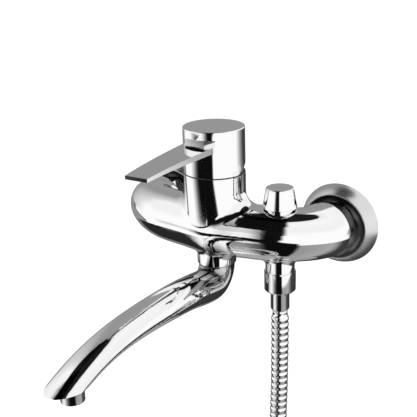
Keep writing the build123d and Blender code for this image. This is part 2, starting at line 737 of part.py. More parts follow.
o_ring_floor = spout_nipple_radius - o_ring_section
o_ring_heights = [spout_top + 10, spout_top + 13.5]
aerator_y = tower_y - aerator_setback
aerator_top = spout_rim_height - aerator_proud + aerator_length
with BuildPart() as spout:
    loft(spout_sections(spout_places, 0))
    with BuildSketch(Plane((0, tower_y, spout_top))):
        Circle(spout_nipple_radius)
    extrude(amount=spout_nipple_length)
    # Level cut that makes the beak at the tip
    with BuildSketch(Plane((0, tower_y - spout_flat_start, spout_rim_height))):
        with Locations((0, -spout_line.length / 2)):
            Rectangle(4 * spout_neck_radius, spout_line.length)
    extrude(amount=-spout_neck_radius * 2, mode=Mode.SUBTRACT)
    # Grooves for the two seals and for the retaining screw
    for height in o_ring_heights:
        with BuildSketch(Plane((0, tower_y, height))):
            Circle(spout_nipple_radius + 1)
            Circle(o_ring_floor, mode=Mode.SUBTRACT)
        extrude(amount=o_ring_section + 2 * seat_gap, mode=Mode.SUBTRACT)
    with BuildSketch(Plane((0, tower_y, spout_screw_height - spout_groove_width / 2))):
        Circle(spout_nipple_radius + 1)
        Circle(spout_nipple_radius - spout_groove_depth, mode=Mode.SUBTRACT)
    extrude(amount=spout_groove_width, mode=Mode.SUBTRACT)
    # Waterway through the nipple and the arm, and the seat of the aerator
    with BuildSketch(Plane((0, tower_y, spout_top - 1))):
        Circle(o_ring_floor - 2.2)
    extrude(amount=spout_nipple_length + 1, mode=Mode.SUBTRACT)
    loft(spout_sections(spout_places[:-1], spout_wall), mode=Mode.SUBTRACT)
    with BuildSketch(Plane((0, aerator_y, spout_rim_height - 1))):
        Circle(aerator_radius + thread_gap)
    extrude(amount=aerator_top + 1 - spout_rim_height, mode=Mode.SUBTRACT)
print("spout", spout.part.is_valid, len(spout.part.solids()), round(spout.part.volume))
save(spout.part, "spout")

with BuildPart() as o_rings:
    for height in o_ring_heights:
        with BuildSketch(Plane((0, tower_y, height + seat_gap))):
            Circle(spout_nipple_radius + seat_gap)
            Circle(o_ring_floor + seat_gap, mode=Mode.SUBTRACT)
        extrude(amount=o_ring_section)
save(o_rings.part, "spout_o_rings")

with BuildPart() as retaining_screw:
    screw_tip = spout_nipple_radius - spout_groove_depth + running_gap
    with BuildSketch(Plane((0, tower_y + screw_tip, spout_screw_height), x_dir=(1, 0, 0),
                           z_dir=(0, 1, 0))):
        Circle(spout_screw_radius - thread_gap)
    extrude(amount=socket_boss_radius - 0.3 - screw_tip)
save(retaining_screw.part, "spout_retaining_screw")

# Aerator: a threaded shell, a flow insert full of small holes and a rubber washer
with BuildPart() as aerator:
    with BuildSketch(Plane((0, aerator_y, spout_rim_height - aerator_proud))):
        Circle(aerator_radius)
    extrude(amount=aerator_length - 1.2)
    chamfer(aerator.faces().sort_by(Axis.Z)[0].edges(), 0.4)
    with BuildSketch(Plane((0, aerator_y, spout_rim_height - aerator_proud + 1))):
        Circle(aerator_radius - 1.2)
    extrude(amount=aerator_length, mode=Mode.SUBTRACT)
    with BuildSketch(Plane((0, aerator_y, spout_rim_height - aerator_proud))):
        Circle(aerator_radius - 2)
    extrude(amount=2, mode=Mode.SUBTRACT)
save(aerator.part, "aerator_shell")

with BuildPart() as insert:
    with BuildSketch(Plane((0, aerator_y, spout_rim_height - aerator_proud + 1))):
        Circle(aerator_radius - 1.2 - seat_gap)
        for count, circle in ((6, 2.4), (12, 4.8)):
            with PolarLocations(circle, count):
                Circle(aerator_hole_radius, mode=Mode.SUBTRACT)
    extrude(amount=aerator_length - 2.4)
save(insert.part, "aerator_insert")

save(ring(aerator_radius - 3, aerator_radius - 0.3, aerator_top - 1.2 + seat_gap,
          aerator_top - seat_gap, 0, aerator_y).part, "aerator_washer")

# Diverter: bonnet, spool on its stem, return spring and pull-up knob
bonnet_top = diverter_pad_top + bonnet_flange_thickness
with BuildPart() as bonnet:
    with BuildSketch(Plane((diverter_x, diverter_y, diverter_pad_top))):
        Circle(bonnet_flange_radius)
    extrude(amount=bonnet_flange_thickness)
    with BuildSketch(Plane((diverter_x, diverter_y, diverter_pad_top))):
        Circle(bonnet_thread_radius)
    extrude(amount=-bonnet_thread_length)
    with BuildSketch(Plane((diverter_x, diverter_y, bonnet_top))):
        Circle(diverter_stem_radius + shaft_gap)
    extrude(amount=-bonnet_thread_length - bonnet_flange_thickness, mode=Mode.SUBTRACT)
save(bonnet.part, "diverter_bonnet")

spool_floor = diverter_floor + 0.3 + spool_seal_thickness
spool_top = spool_floor + spool_thickness
knob_bottom = diverter_pad_top + 0.4
knob_top = knob_bottom + knob_height
stem_top = knob_top - 4
with BuildPart() as stem:
    with BuildSketch(Plane((diverter_x, diverter_y, spool_floor))):
        Circle(spool_radius)
    extrude(amount=spool_thickness)
    with BuildSketch(Plane((diverter_x, diverter_y, spool_top))):
        Circle(diverter_stem_radius)
    extrude(amount=stem_top - spool_top)
save(stem.part, "diverter_stem")

save(ring(2.4, spool_radius - 0.4, spool_floor - spool_seal_thickness, spool_floor - seat_gap,
          diverter_x, diverter_y).part, "diverter_seal")

spring_radius = spool_radius - 2
spring_floor = spool_top + spring_wire_radius + seat_gap
spring_height = (diverter_pad_top - bonnet_thread_length - spring_wire_radius - seat_gap
                 - spring_floor)
with BuildPart() as spring:
    with BuildLine():
        coil_line = Helix(spring_height / spring_turns, spring_height, spring_radius,
                          center=(diverter_x, diverter_y, spring_floor))
    with BuildSketch(Plane(coil_line @ 0, z_dir=coil_line % 0)):
        Circle(spring_wire_radius)
    sweep()
print("spring", spring.part.is_valid, round(spring.part.volume, 1))
save(spring.part, "diverter_spring")

with BuildPart() as knob:
    with BuildSketch(Plane((diverter_x, diverter_y, knob_bottom))):
        Circle(knob_base_radius)
    with BuildSketch(Plane((diverter_x, diverter_y, knob_top))):
        Circle(knob_top_radius)
    loft()
    fillet(knob.faces().sort_by(Axis.Z)[-1].edges(), 0.9)
    fillet(knob.faces().sort_by(Axis.Z)[0].edges().sort_by(SortBy.LENGTH)[-1], 0.4)
    with BuildSketch(Plane((diverter_x, diverter_y, knob_bottom))):
        Circle(bonnet_flange_radius + 0.5)
    extrude(amount=bonnet_top - knob_bottom + 0.4, mode=Mode.SUBTRACT)
    with BuildSketch(Plane((diverter_x, diverter_y, knob_bottom))):
        Circle(diverter_stem_radius + seat_gap)
    extrude(amount=stem_top + seat_gap - knob_bottom, mode=Mode.SUBTRACT)
save(knob.part, "diverter_knob")

# Shower outlet: threaded nipple with its check valve
nipple_bottom = outlet_boss_bottom - nipple_thread_length - 2
with BuildPart() as nipple:
    with BuildSketch(Plane((diverter_x, diverter_y, outlet_boss_bottom))):
        Circle(nipple_top_radius)
    extrude(amount=nipple_top_length)
    with BuildSketch(Plane((diverter_x, diverter_y, nipple_bottom))):
        Circle(half_inch_thread_radius)
    extrude(amount=outlet_boss_bottom - nipple_bottom)
    chamfer(nipple.faces().sort_by(Axis.Z)[0].edges(), 0.8)
    with BuildSketch(Plane((diverter_x, diverter_y, nipple_bottom))):
        Circle(outlet_bore_radius)
    extrude(amount=nipple_top_length + outlet_boss_bottom - nipple_bottom, mode=Mode.SUBTRACT)
save(nipple.part, "shower_outlet_nipple")

with BuildPart() as check_valve:
    valve_bottom = nipple_bottom + 1
    with BuildSketch(Plane((diverter_x, diverter_y, valve_bottom))):
        Circle(outlet_bore_radius - seat_gap)
        Circle(outlet_bore_radius - 1.4, mode=Mode.SUBTRACT)
    extrude(amount=check_valve_length)
    with BuildSketch(Plane((diverter_x, diverter_y, valve_bottom + check_valve_length / 2))):
        Circle(outlet_bore_radius - 1)
        with PolarLocations(2.9, 4):
            Circle(1, mode=Mode.SUBTRACT)
    extrude(amount=1.5)
save(check_valve.part, "check_valve")


# Both ends of the hose: washer, tail, crimped sleeve and union nut
def hose_washer(plane, name):
    with BuildPart() as part:
        with BuildSketch(plane):
            Circle(half_inch_thread_radius - 0.2)
            Circle(outlet_bore_radius, mode=Mode.SUBTRACT)
        extrude(amount=hose_washer_thickness)
    save(part.part, name)


def hose_tail(plane, name):
    with BuildPart() as part:
        with BuildSketch(plane):
            Circle(half_inch_thread_radius - 0.3)
        extrude(amount=hose_tail_flange)
        with BuildSketch(plane):
            Circle(hose_bore_radius)
        extrude(amount=hose_tail_flange + sleeve_length)
        with BuildSketch(plane):
            Circle(hose_bore_radius - 1)
        extrude(amount=hose_tail_flange + sleeve_length, mode=Mode.SUBTRACT)
    save(part.part, name)


def hose_sleeve(plane, name):
    with BuildPart() as part:
        with BuildSketch(plane.offset(hose_tail_flange)):
            Circle(sleeve_radius)
        extrude(amount=sleeve_length)
        chamfer(part.edges().filter_by(GeomType.CIRCLE), 0.5)
        with BuildSketch(plane.offset(hose_tail_flange)):
            Circle(hose_bore_radius + seat_gap)
        extrude(amount=sleeve_length, mode=Mode.SUBTRACT)
    save(part.part, name)


washer_place = Plane((diverter_x, diverter_y, nipple_bottom), x_dir=(1, 0, 0), z_dir=(0, 0, -1))
tail_place = washer_place.offset(hose_washer_thickness)
hose_washer(washer_place, "hose_washer")
hose_tail(tail_place, "hose_tail")
hose_sleeve(tail_place, "hose_sleeve")

nut_top = outlet_boss_bottom - running_gap
with BuildPart() as hose_nut:
    with BuildSketch(Plane((diverter_x, diverter_y, nut_top))):
        Circle(hose_nut_radius)
    extrude(amount=-hose_nut_length)
    chamfer(hose_nut.faces().sort_by(Axis.Z)[0].edges(), 1.6)
    chamfer(hose_nut.faces().sort_by(Axis.Z)[-1].edges(), 0.5)
    nut_floor = nipple_bottom - hose_washer_thickness - hose_tail_flange - seat_gap
    with BuildSketch(Plane((diverter_x, diverter_y, nut_top))):
        Circle(half_inch_thread_radius + thread_gap)
    extrude(amount=nut_floor - nut_top, mode=Mode.SUBTRACT)
    with BuildSketch(Plane((diverter_x, diverter_y, nut_top))):
        Circle(sleeve_radius + 0.2)
    extrude(amount=-hose_nut_length, mode=Mode.SUBTRACT)
print("hose nut wall", round(nut_floor - (nut_top - hose_nut_length), 2))
save(hose_nut.part, "hose_nut")

# Free hose: the drop with its ribs and its bore
hose_start = Vector(diverter_x, diverter_y,
                    nipple_bottom - hose_washer_thickness - hose_tail_flange - sleeve_length)
route = [hose_start + Vector(0, forward, drop) for forward, drop in hose_points]
hose_radii = []
for before, here, after in zip(route, route[1:], route[2:]):
    turn = radians((here - before).get_angle(after - here))
    shorter = min((here - before).length, (after - here).length)
    hose_radii.append(0.45 * shorter / tan(turn / 2))
print("hose radii", [round(r, 1) for r in hose_radii])
with BuildLine() as drop_path:
    FilletPolyline(route, radius=hose_radii)
drop_line = drop_path.wires()[0]
rib_count = int(drop_line.length / hose_rib_pitch) - 5
rib_stretch = rib_count * hose_rib_pitch
plain_end = (drop_line.length - rib_stretch) / 2
hose_radius = hose_diameter / 2
rib_root = hose_radius - hose_rib_depth


hose_outline = [(0, rib_root)]
for rib in range(rib_count):
    begin = plain_end + rib * hose_rib_pitch
    for share, radius in ((0.06, rib_root), (0.24, hose_radius), (0.76, hose_radius),
                          (0.94, rib_root)):
        hose_outline.append((begin + share * hose_rib_pitch, radius))
hose_outline.append((drop_line.length, rib_root))

with BuildPart() as hose_drop:
    for distance, radius in hose_outline:
        place = distance / drop_line.length
        with BuildSketch(Plane(drop_line @ place, x_dir=(1, 0, 0), z_dir=drop_line % place)):
            Circle(radius)
    loft(ruled=True)
    with BuildSketch(Plane(drop_line @ 0, x_dir=(1, 0, 0), z_dir=drop_line % 0)):
        Circle(hose_bore_radius)
    sweep(path=drop_line, mode=Mode.SUBTRACT)
print("hose drop", hose_drop.part.is_valid, round(drop_line.length, 1), rib_count,
      round(hose_drop.part.volume))
save(hose_drop.part, "hose_drop")

# Coil: the hose comes in over the turns, sinks to the floor in a tilted half turn and
# winds outwards, then the last quarter lifts a little for the thick end nut
coil_entry = drop_line @ 1
wound_length = hose_length - drop_line.length - 2 * hose_diameter
mean_radius = wound_length / (coil_half_turns * pi)
coil_radii = [mean_radius + coil_pitch / 2 * (i - (coil_half_turns - 1) / 2)
              for i in range(coil_half_turns)]
sink = asin(coil_pitch / (2 * coil_radii[0]))
end_rise = hose_nut_radius - hose_radius - tie_thickness - tie_gap
lift = asin(end_rise / (coil_radii[-1] + hose_diameter + cone_length))


def tilted_arc(start, heading, radius, slope, turn):
    """A turn to the right from a level heading, in a plane that slopes up across it."""
    across = Vector(heading.Y, -heading.X, 0) * cos(slope) + Vector(0, 0, sin(slope))
    points = [start + (heading * sin(t) + across * (1 - cos(t))) * radius
              for t in (turn / 2, turn)]
    return ThreePointArc(start, *points)


with BuildLine() as coil_path:
    leg = Line(coil_entry, coil_entry + Vector(0, -hose_diameter, 0))
    leg = tilted_arc(leg @ 1, leg % 1, coil_radii[0], -sink, pi)
    for radius in coil_radii[1:-1]:
        leg = JernArc(leg @ 1, leg % 1, radius, -180)
    leg = JernArc(leg @ 1, leg % 1, coil_radii[-1], -90)
    leg = tilted_arc(leg @ 1, leg % 1, coil_radii[-1], lift, pi / 2)
    Line(leg @ 1, (leg @ 1) + (leg % 1) * hose_diameter)
coil_line = coil_path.wires()[0]
print("hose length", round(drop_line.length + coil_line.length, 1))
print("coil radii", [round(r, 1) for r in coil_radii])

with BuildPart() as hose_coil:
    with BuildSketch(Plane(coil_line @ 0, x_dir=(1, 0, 0), z_dir=coil_line % 0)):
        Circle(hose_radius)
        Circle(hose_bore_radius, mode=Mode.SUBTRACT)
    sweep(path=coil_line)
section_area = pi * (hose_radius**2 - hose_bore_radius**2)
print("coil volume over section times length",
      round(hose_coil.part.volume / (section_area * coil_line.length), 4),
      hose_coil.part.is_valid)
samples = [coil_line.position_at(i / 400) for i in range(401)]
spacing = coil_line.length / 400
least_gap = min((samples[i] - samples[j]).length for i in range(401) for j in range(i)
                if (i - j) * spacing > 4 * hose_diameter) - hose_diameter
print("least gap of the coil to itself", round(least_gap, 2))
save(hose_coil.part, "hose_coil")

# Far end of the hose: sleeve, tail, washer and a conical nut, in line with the last run
end_place = Plane(coil_line @ 1, x_dir=(0, 0, 1), z_dir=coil_line % 1)
end_face = end_place.offset(sleeve_length + hose_tail_flange)
print("end of the hose", end_place.origin, end_place.z_dir)
end_tail_place = Plane(end_face.origin, x_dir=(0, 0, 1), z_dir=-end_place.z_dir)
hose_washer(end_face, "end_washer")
hose_tail(end_tail_place, "end_tail")
hose_sleeve(end_tail_place, "end_sleeve")
with BuildPart() as cone_nut:
    with BuildSketch(end_place.offset(0.5)):
        Circle(sleeve_radius + 1.3)
    with BuildSketch(end_place.offset(cone_length)):
        Circle(hose_nut_radius)
    loft()
    with BuildSketch(end_place.offset(cone_length)):
        Circle(hose_nut_radius)
    extrude(amount=cone_nut_length - cone_length)
    with BuildSketch(end_place):
        Circle(sleeve_radius + 0.2)
    extrude(amount=cone_nut_length, mode=Mode.SUBTRACT)
    with BuildSketch(end_place.offset(sleeve_length - seat_gap)):
        Circle(half_inch_thread_radius + thread_relief)
    extrude(amount=seat_gap + hose_tail_flange + hose_washer_thickness, mode=Mode.SUBTRACT)
    with BuildSketch(end_place.offset(sleeve_length)):
        Circle(half_inch_thread_radius + thread_gap)
    extrude(amount=cone_nut_length, mode=Mode.SUBTRACT)
save(cone_nut.part, "end_cone_nut")

# A strap ties two turns together on the side towards the wall
strap_turns = (coil_half_turns - 1) // 2 - 1
tie_inner_width = strap_turns * coil_pitch + hose_diameter + 2 * tie_gap
tie_inner_height = hose_diameter + 2 * tie_gap
tie_middle = Vector(coil_entry.X - 2 * coil_radii[0] * cos(sink) + coil_radii[1],
                    coil_entry.Y - hose_diameter + coil_radii[1] + strap_turns * coil_pitch / 2,
                    coil_entry.Z - coil_pitch)
tie_place = Plane(tie_middle, x_dir=(0, 1, 0), z_dir=(1, 0, 0))
with BuildPart() as tie:
    with BuildSketch(tie_place):
        RectangleRounded(tie_inner_width + 2 * tie_thickness, tie_inner_height + 2 * tie_thickness,
                         hose_radius + tie_thickness)
        RectangleRounded(tie_inner_width, tie_inner_height, hose_radius, mode=Mode.SUBTRACT)
    extrude(amount=tie_width / 2, both=True)
save(tie.part, "hose_tie")
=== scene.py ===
"""Dresses the bath mixer in its finishes, gives it a ribbed hose and a white studio."""

import math

import bpy
import numpy as np
from mathutils import Matrix, Vector


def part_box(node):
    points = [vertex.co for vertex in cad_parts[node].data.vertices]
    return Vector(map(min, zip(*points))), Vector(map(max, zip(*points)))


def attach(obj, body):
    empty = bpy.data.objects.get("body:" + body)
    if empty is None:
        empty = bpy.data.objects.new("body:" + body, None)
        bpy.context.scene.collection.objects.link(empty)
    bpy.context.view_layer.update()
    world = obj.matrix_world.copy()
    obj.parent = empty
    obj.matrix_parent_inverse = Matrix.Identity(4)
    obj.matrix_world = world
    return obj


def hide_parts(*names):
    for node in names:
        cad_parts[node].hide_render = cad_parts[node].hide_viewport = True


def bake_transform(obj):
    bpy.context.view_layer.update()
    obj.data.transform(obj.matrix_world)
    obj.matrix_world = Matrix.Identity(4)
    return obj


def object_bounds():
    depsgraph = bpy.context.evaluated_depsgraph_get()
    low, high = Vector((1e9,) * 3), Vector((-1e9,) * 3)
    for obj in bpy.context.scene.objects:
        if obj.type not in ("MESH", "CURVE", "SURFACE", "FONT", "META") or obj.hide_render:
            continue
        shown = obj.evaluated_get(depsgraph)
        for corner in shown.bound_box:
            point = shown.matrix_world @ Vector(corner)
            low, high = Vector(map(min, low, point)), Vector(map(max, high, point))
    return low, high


bl_info = {
    "name": "Bath Mixer Finishes",
    "version": (1, 0, 0),
    "blender": (4, 5, 0),
    "location": "View3D > Sidebar > Bath Mixer",
    "description": "Finishes, ribbed hose and studio for a wall-mounted bath mixer",
    "category": "Object",
}

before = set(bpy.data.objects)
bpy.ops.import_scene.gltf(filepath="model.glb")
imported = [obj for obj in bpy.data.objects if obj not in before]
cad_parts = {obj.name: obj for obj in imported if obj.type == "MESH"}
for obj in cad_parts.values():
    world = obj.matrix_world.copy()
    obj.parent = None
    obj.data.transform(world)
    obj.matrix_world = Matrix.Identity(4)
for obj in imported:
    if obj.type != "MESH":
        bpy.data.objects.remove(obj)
cad_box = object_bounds()

# Side of the square picture in pixels
IMAGE_SIZE = 417
# The floor lies at the lowest place of the solids
FLOOR_HEIGHT = cad_box[0][2]

# Nodes of the frame by finish
CAST_CHROME = (
    "body_casting", "union_left", "union_right", "union_nut_left", "union_nut_right",
    "lever_cap", "lever_blade", "cover_dome", "aerator_shell", "diverter_bonnet",
    "diverter_knob", "shower_outlet_nipple", "hose_nut", "hose_sleeve", "end_sleeve",
    "end_cone_nut",
)
SPOUT_CHROME = ("spout",)
SHEET_CHROME = ("rosette_left", "rosette_right")
TURNED_BRASS = ("lever_spindle", "cartridge_nut", "diverter_stem", "hose_tail", "end_tail")
STEEL_PARTS = (
    "spindle_pin", "blade_screw", "lever_grub_screw", "spout_retaining_screw", "diverter_spring",
)
CERAMIC_DISCS = ("fixed_ceramic_disc", "moving_ceramic_disc")
WHITE_MOULDINGS = (
    "cartridge_base", "cartridge_housing", "disc_carrier", "swivel_guide", "check_valve",
    "spout_slip_ring",
)
GREY_MOULDINGS = ("slide_ring", "indicator_plug", "aerator_insert")
RUBBER_PARTS = (
    "cartridge_seals", "spout_o_rings", "aerator_washer", "diverter_seal", "hose_washer",
    "end_washer", "hose_tie",
)
FIBRE_WASHERS = ("inlet_washer_left", "inlet_washer_right")

# Control points of the hose below its sleeve: forward and down from its start, in metres
HOSE_DROP = ((0, 0), (0, -0.118), (-0.0295, -0.1691), (-0.0806, -0.1986), (-0.1336, -0.1986))
# Places whose x differs by less than this, in metres, still belong to the drop
SAME_X = 1e-6
# Share of the rise to the end nut that the coil's last quarter turn makes
COIL_RISE = 0.72
# Order of the hose's line, and its points from one control point to the next
LINE_ORDER = 3
LINE_STEPS = 24
# One rib: places as shares of its pitch, and their heights as shares of its depth
RIB_PLACES = np.array([0.0, 0.14, 0.26, 0.5, 0.74, 0.86])
RIB_HEIGHTS = np.array([0.0, 0.35, 0.92, 1.0, 0.92, 0.35])
# Ribs left out for the plain stretches at the hose's two ends
PLAIN_RIBS = 2

# Handling marks: how the wiping lines are drawn out along the axes, their height against the
# smudges, and the range of the noise that spans the gloss
LINE_STRETCH = (1.0, 1.0, 0.06)
LINE_HEIGHT = 0.15
NOISE_RANGE = (0.35, 0.75)
# Painted shade: how open a place is where the painted shade begins and where it is full, the rays
# that measure this, and the share of the colour that full painted shade leaves
PAINTED_SHADE_RANGE = (0.85, 0.3)
PAINTED_SHADE_RAYS = 12
PAINTED_SHADE_SHARE = 0.05
# Depth of the relief at full strength, in metal and in mouldings, in metres
METAL_RELIEF = 0.0002
MOULDED_RELIEF = 0.0001
# Sockets of a mix node that mixes colours: its share, its two colours and its result
MIX_SHARE = 0
MIX_FIRST = 6
MIX_SECOND = 7
MIX_RESULT = 2

# Mesh columns of the round stage pieces, the radius of the hole at their centre, and the radii
# of the floor's rings, in metres
STAGE_COLUMNS = 64
CENTRE_RADIUS = 0.001
FLOOR_RADII = (CENTRE_RADIUS, 1.0, 6.0)
# Height of the tent's ground ring above the floor, in metres
RING_LIFT = 0.001
# Grey of the floor, and the light it gives to the camera alone
FLOOR_GREY = 0.45
FLOOR_GLOW = 0.8
# Greys of the world for all but the camera, from 0 on the camera's side to 1 behind the object
WORLD_GREYS = ((0.0, 0.7), (0.5, 0.6), (0.95, 0.4))
# Greys of the tent by degrees to the camera's right: first its ground ring, then its wall in
# bands that start at the given heights above the mixer's axis, in metres
GROUND_GREYS = ((-180, 0.25), (-138, 0.2), (-128, 0.02), (-90, 0.02), (-78, 0.6), (-60, 1.0),
                (-38, 0.15), (-24, 0.004), (8, 0.004), (12, 0.3), (48, 0.4), (75, 0.05),
                (150, 0.03), (180, 0.25))
WALL_GREYS = (
    (FLOOR_HEIGHT + 2 * RING_LIFT,
     ((-180, 0.25), (-138, 0.3), (-134, 0.2), (-129, 0.2), (-126, 1.0), (-60, 1.0), (-48, 0.1),
      (-44, 0.004), (-11, 0.004), (-7, 1.0), (80, 1.0), (105, 0.3), (125, 0.05), (180, 0.05))),
    (-0.185,
     ((-180, 0.25), (-138, 0.3), (-134, 0.2), (-129, 0.2), (-126, 1.0), (-90, 1.0), (-68, 0.12),
      (-60, 0.004), (-11, 0.004), (-7, 1.0), (80, 1.0), (105, 0.3), (125, 0.05), (180, 0.05))),
    (-0.055,
     ((-180, 0.3), (-150, 0.3), (-125, 0.7), (-108, 1.0), (-40, 1.0), (-29, 0.1),
      (-25, 0.004), (-8, 0.004), (-4, 1.0), (148, 1.0), (153, 0.02), (165, 0.02), (171, 0.3),
      (180, 0.3))),
    (0.13,
     ((-180, 0.33), (-150, 0.33), (-125, 0.7), (-108, 1.0), (-45, 1.0), (-29, 0.1),
      (-24, 0.004), (-6, 0.004), (-1, 1.0), (148, 1.0), (153, 0.33), (180, 0.33))),
    (0.33,
     ((-180, 0.33), (-150, 0.33), (-125, 0.7), (-112, 1.0), (-72, 1.0), (-60, 0.1),
      (-54, 0.004), (-6, 0.004), (-1, 1.0), (148, 1.0), (153, 0.33), (180, 0.33))),
    (0.62,
     ((-180, 0.33), (-150, 0.33), (-125, 0.7), (-112, 1.0), (-100, 1.0), (-88, 0.1),
      (-84, 0.004), (-4, 0.004), (2, 1.0), (148, 1.0), (153, 0.33), (180, 0.33))))
# Down from the first of these two heights the wall's greys slide to the camera's right, by this
# many degrees at the second
SLIDE = 18
SLIDE_HEIGHTS = (-0.12, -0.2)
# Shares of the tent's greys that stay at heights above the mixer's axis, in metres
HEIGHT_GREYS = ((-0.28, 1.0), (0.12, 1.0), (0.3, 0.9), (0.95, 0.95), (1.45, 0.85), (1.6, 0.01))

# Width of the camera's sensor in millimetres, and where its view begins in metres
SENSOR_WIDTH = 36
CLIP_START = 0.01


class HoseSizes(bpy.types.PropertyGroup):
    """Sizes of the shower hose."""

    diameter: bpy.props.FloatProperty(
        name="Diameter", description="Outside diameter over the ribs",
        default=0.0135, unit="LENGTH")
    length: bpy.props.FloatProperty(
        name="Length", description="Real length of the hose between its sleeves",
        default=1.5, unit="LENGTH")
    rib_pitch: bpy.props.FloatProperty(
        name="Rib pitch", description="Distance from rib to rib",
        default=0.00514, unit="LENGTH")
    rib_depth: bpy.props.FloatProperty(
        name="Rib depth", description="Depth of the groove between two ribs",
        default=0.00095, unit="LENGTH")
    coil_pitch: bpy.props.FloatProperty(
        name="Coil pitch", description="Distance between neighbouring turns",
        default=0.0141, unit="LENGTH")
    coil_start_radius: bpy.props.FloatProperty(
        name="Coil start radius", description="Radius of the coil's spiral where it begins",
        default=0.0575, unit="LENGTH")
    coil_turns: bpy.props.FloatProperty(
        name="Coil turns", description="Number of turns in the coil", default=2.5)
    points_per_turn: bpy.props.IntProperty(
        name="Points per turn", description="Control points in each turn of the coil",
        default=16)
    around: bpy.props.IntProperty(
        name="Sides", description="Mesh columns round the hose", default=24)


class CollarSizes(bpy.types.PropertyGroup):
    """Sizes of the narrow collar at the spout's outlet."""

    radius: bpy.props.FloatProperty(
        name="Radius", description="Outside radius of the collar", default=0.0078, unit="LENGTH")
    wall: bpy.props.FloatProperty(
        name="Wall", description="Thickness of the collar", default=0.0012, unit="LENGTH")
    proud: bpy.props.FloatProperty(
        name="Proud", description="Drop below the lowest place of the spout", default=0.0038,
        unit="LENGTH")
    edge: bpy.props.FloatProperty(
        name="Edge", description="Size of the broken edges", default=0.0003, unit="LENGTH")
    around: bpy.props.IntProperty(
        name="Sides", description="Mesh columns round the collar", default=96)


class SpringSizes(bpy.types.PropertyGroup):
    """Sizes of the diverter's return spring."""

    wire: bpy.props.FloatProperty(
        name="Wire", description="Diameter of the spring's wire", default=0.001, unit="LENGTH")
    turns: bpy.props.FloatProperty(
        name="Turns", description="Number of turns of the wire", default=4.0)
    points: bpy.props.IntProperty(
        name="Points", description="Mesh rings along the wire", default=193)
    around: bpy.props.IntProperty(
        name="Sides", description="Mesh columns round the spring's wire", default=12)


class FinishColours(bpy.types.PropertyGroup):
    """Colours of the finishes."""

    chrome: bpy.props.FloatVectorProperty(
        name="Chrome", description="Polished plating", subtype="COLOR",
        default=(0.97, 0.97, 0.975))
    satin_chrome: bpy.props.FloatVectorProperty(
        name="Satin chrome", description="Satin plated sheet", subtype="COLOR",
        default=(0.76, 0.76, 0.77))
    brass: bpy.props.FloatVectorProperty(
        name="Brass", description="Turned brass", subtype="COLOR", default=(0.72, 0.5, 0.21))
    steel: bpy.props.FloatVectorProperty(
        name="Steel", description="Stainless steel", subtype="COLOR", default=(0.56, 0.56, 0.57))
    ceramic: bpy.props.FloatVectorProperty(
        name="Ceramic", description="Lapped ceramic", subtype="COLOR", default=(0.87, 0.85, 0.79))
    moulding: bpy.props.FloatVectorProperty(
        name="Moulding", description="White moulded plastic", subtype="COLOR",
        default=(0.82, 0.82, 0.8))
    grey: bpy.props.FloatVectorProperty(
        name="Grey", description="Dark moulded plastic", subtype="COLOR",
        default=(0.03, 0.03, 0.032))
    rubber: bpy.props.FloatVectorProperty(
        name="Rubber", description="Black rubber", subtype="COLOR", default=(0.02, 0.02, 0.02))
    fibre: bpy.props.FloatVectorProperty(
        name="Fibre", description="Pressed fibre", subtype="COLOR", default=(0.16, 0.06, 0.035))


class StudioSettings(bpy.types.PropertyGroup):
    """Camera and light of the studio."""

    turn: bpy.props.FloatProperty(
        name="Turn", description="Camera's turn to the right of the spout's side",
        subtype="ANGLE", unit="ROTATION", default=math.radians(32.9))
    tilt: bpy.props.FloatProperty(
        name="Tilt", description="Camera's angle above the level", subtype="ANGLE",
        unit="ROTATION", default=math.radians(17.56))
    roll: bpy.props.FloatProperty(
        name="Roll", description="Camera's turn about the lens axis", subtype="ANGLE",
        unit="ROTATION", default=math.radians(-1.62))
    distance: bpy.props.FloatProperty(
        name="Distance", description="Camera's distance from its target", unit="LENGTH",
        default=0.6603)
    focal_pixels: bpy.props.FloatProperty(
        name="Focal length", description="Focal length in image pixels", subtype="PIXEL",
        default=850.0)
    centre_down: bpy.props.FloatProperty(
        name="Centre", description="Image row of the lens axis, in pixels", subtype="PIXEL",
        default=188.7)
    target: bpy.props.FloatVectorProperty(
        name="Target", description="Point on the lens axis", subtype="TRANSLATION",
        unit="LENGTH", default=(-0.01566, -0.045, 0.02705))
    tent_radius: bpy.props.FloatProperty(
        name="Tent radius", description="Radius of the light tent", unit="LENGTH", default=0.62)
    ground_radius: bpy.props.FloatProperty(
        name="Ground radius", description="Radius where the tent's ground ring begins",
        unit="LENGTH", default=0.11)
    tent_height: bpy.props.FloatProperty(
        name="Tent height", description="Height of the light tent", unit="LENGTH", default=2.0)
    lamp_power: bpy.props.FloatProperty(
        name="Lamp power", description="Power of the overhead lamp in watts", unit="POWER",
        default=9.0)
    lamp_size: bpy.props.FloatProperty(
        name="Lamp size", description="Side of the overhead lamp", unit="LENGTH", default=0.9)
    lamp_place: bpy.props.FloatVectorProperty(
        name="Lamp place", description="Place of the overhead lamp", subtype="TRANSLATION",
        unit="LENGTH", default=(-0.2, -0.5, 1.1))
    lamp_target: bpy.props.FloatVectorProperty(
        name="Lamp target", description="Point that the overhead lamp faces",
        subtype="TRANSLATION", unit="LENGTH", default=(0.0, -0.05, 0.0))


# Shader helpers
def add_node(tree, kind, **values):
    """A node of that kind; each value goes to the input socket, or else the setting, so named."""
    node = tree.nodes.new(kind)
    for key, value in values.items():
        if hasattr(node, key):
            setattr(node, key, value)
        else:
            node.inputs[key.replace("_", " ")].default_value = value
    return node


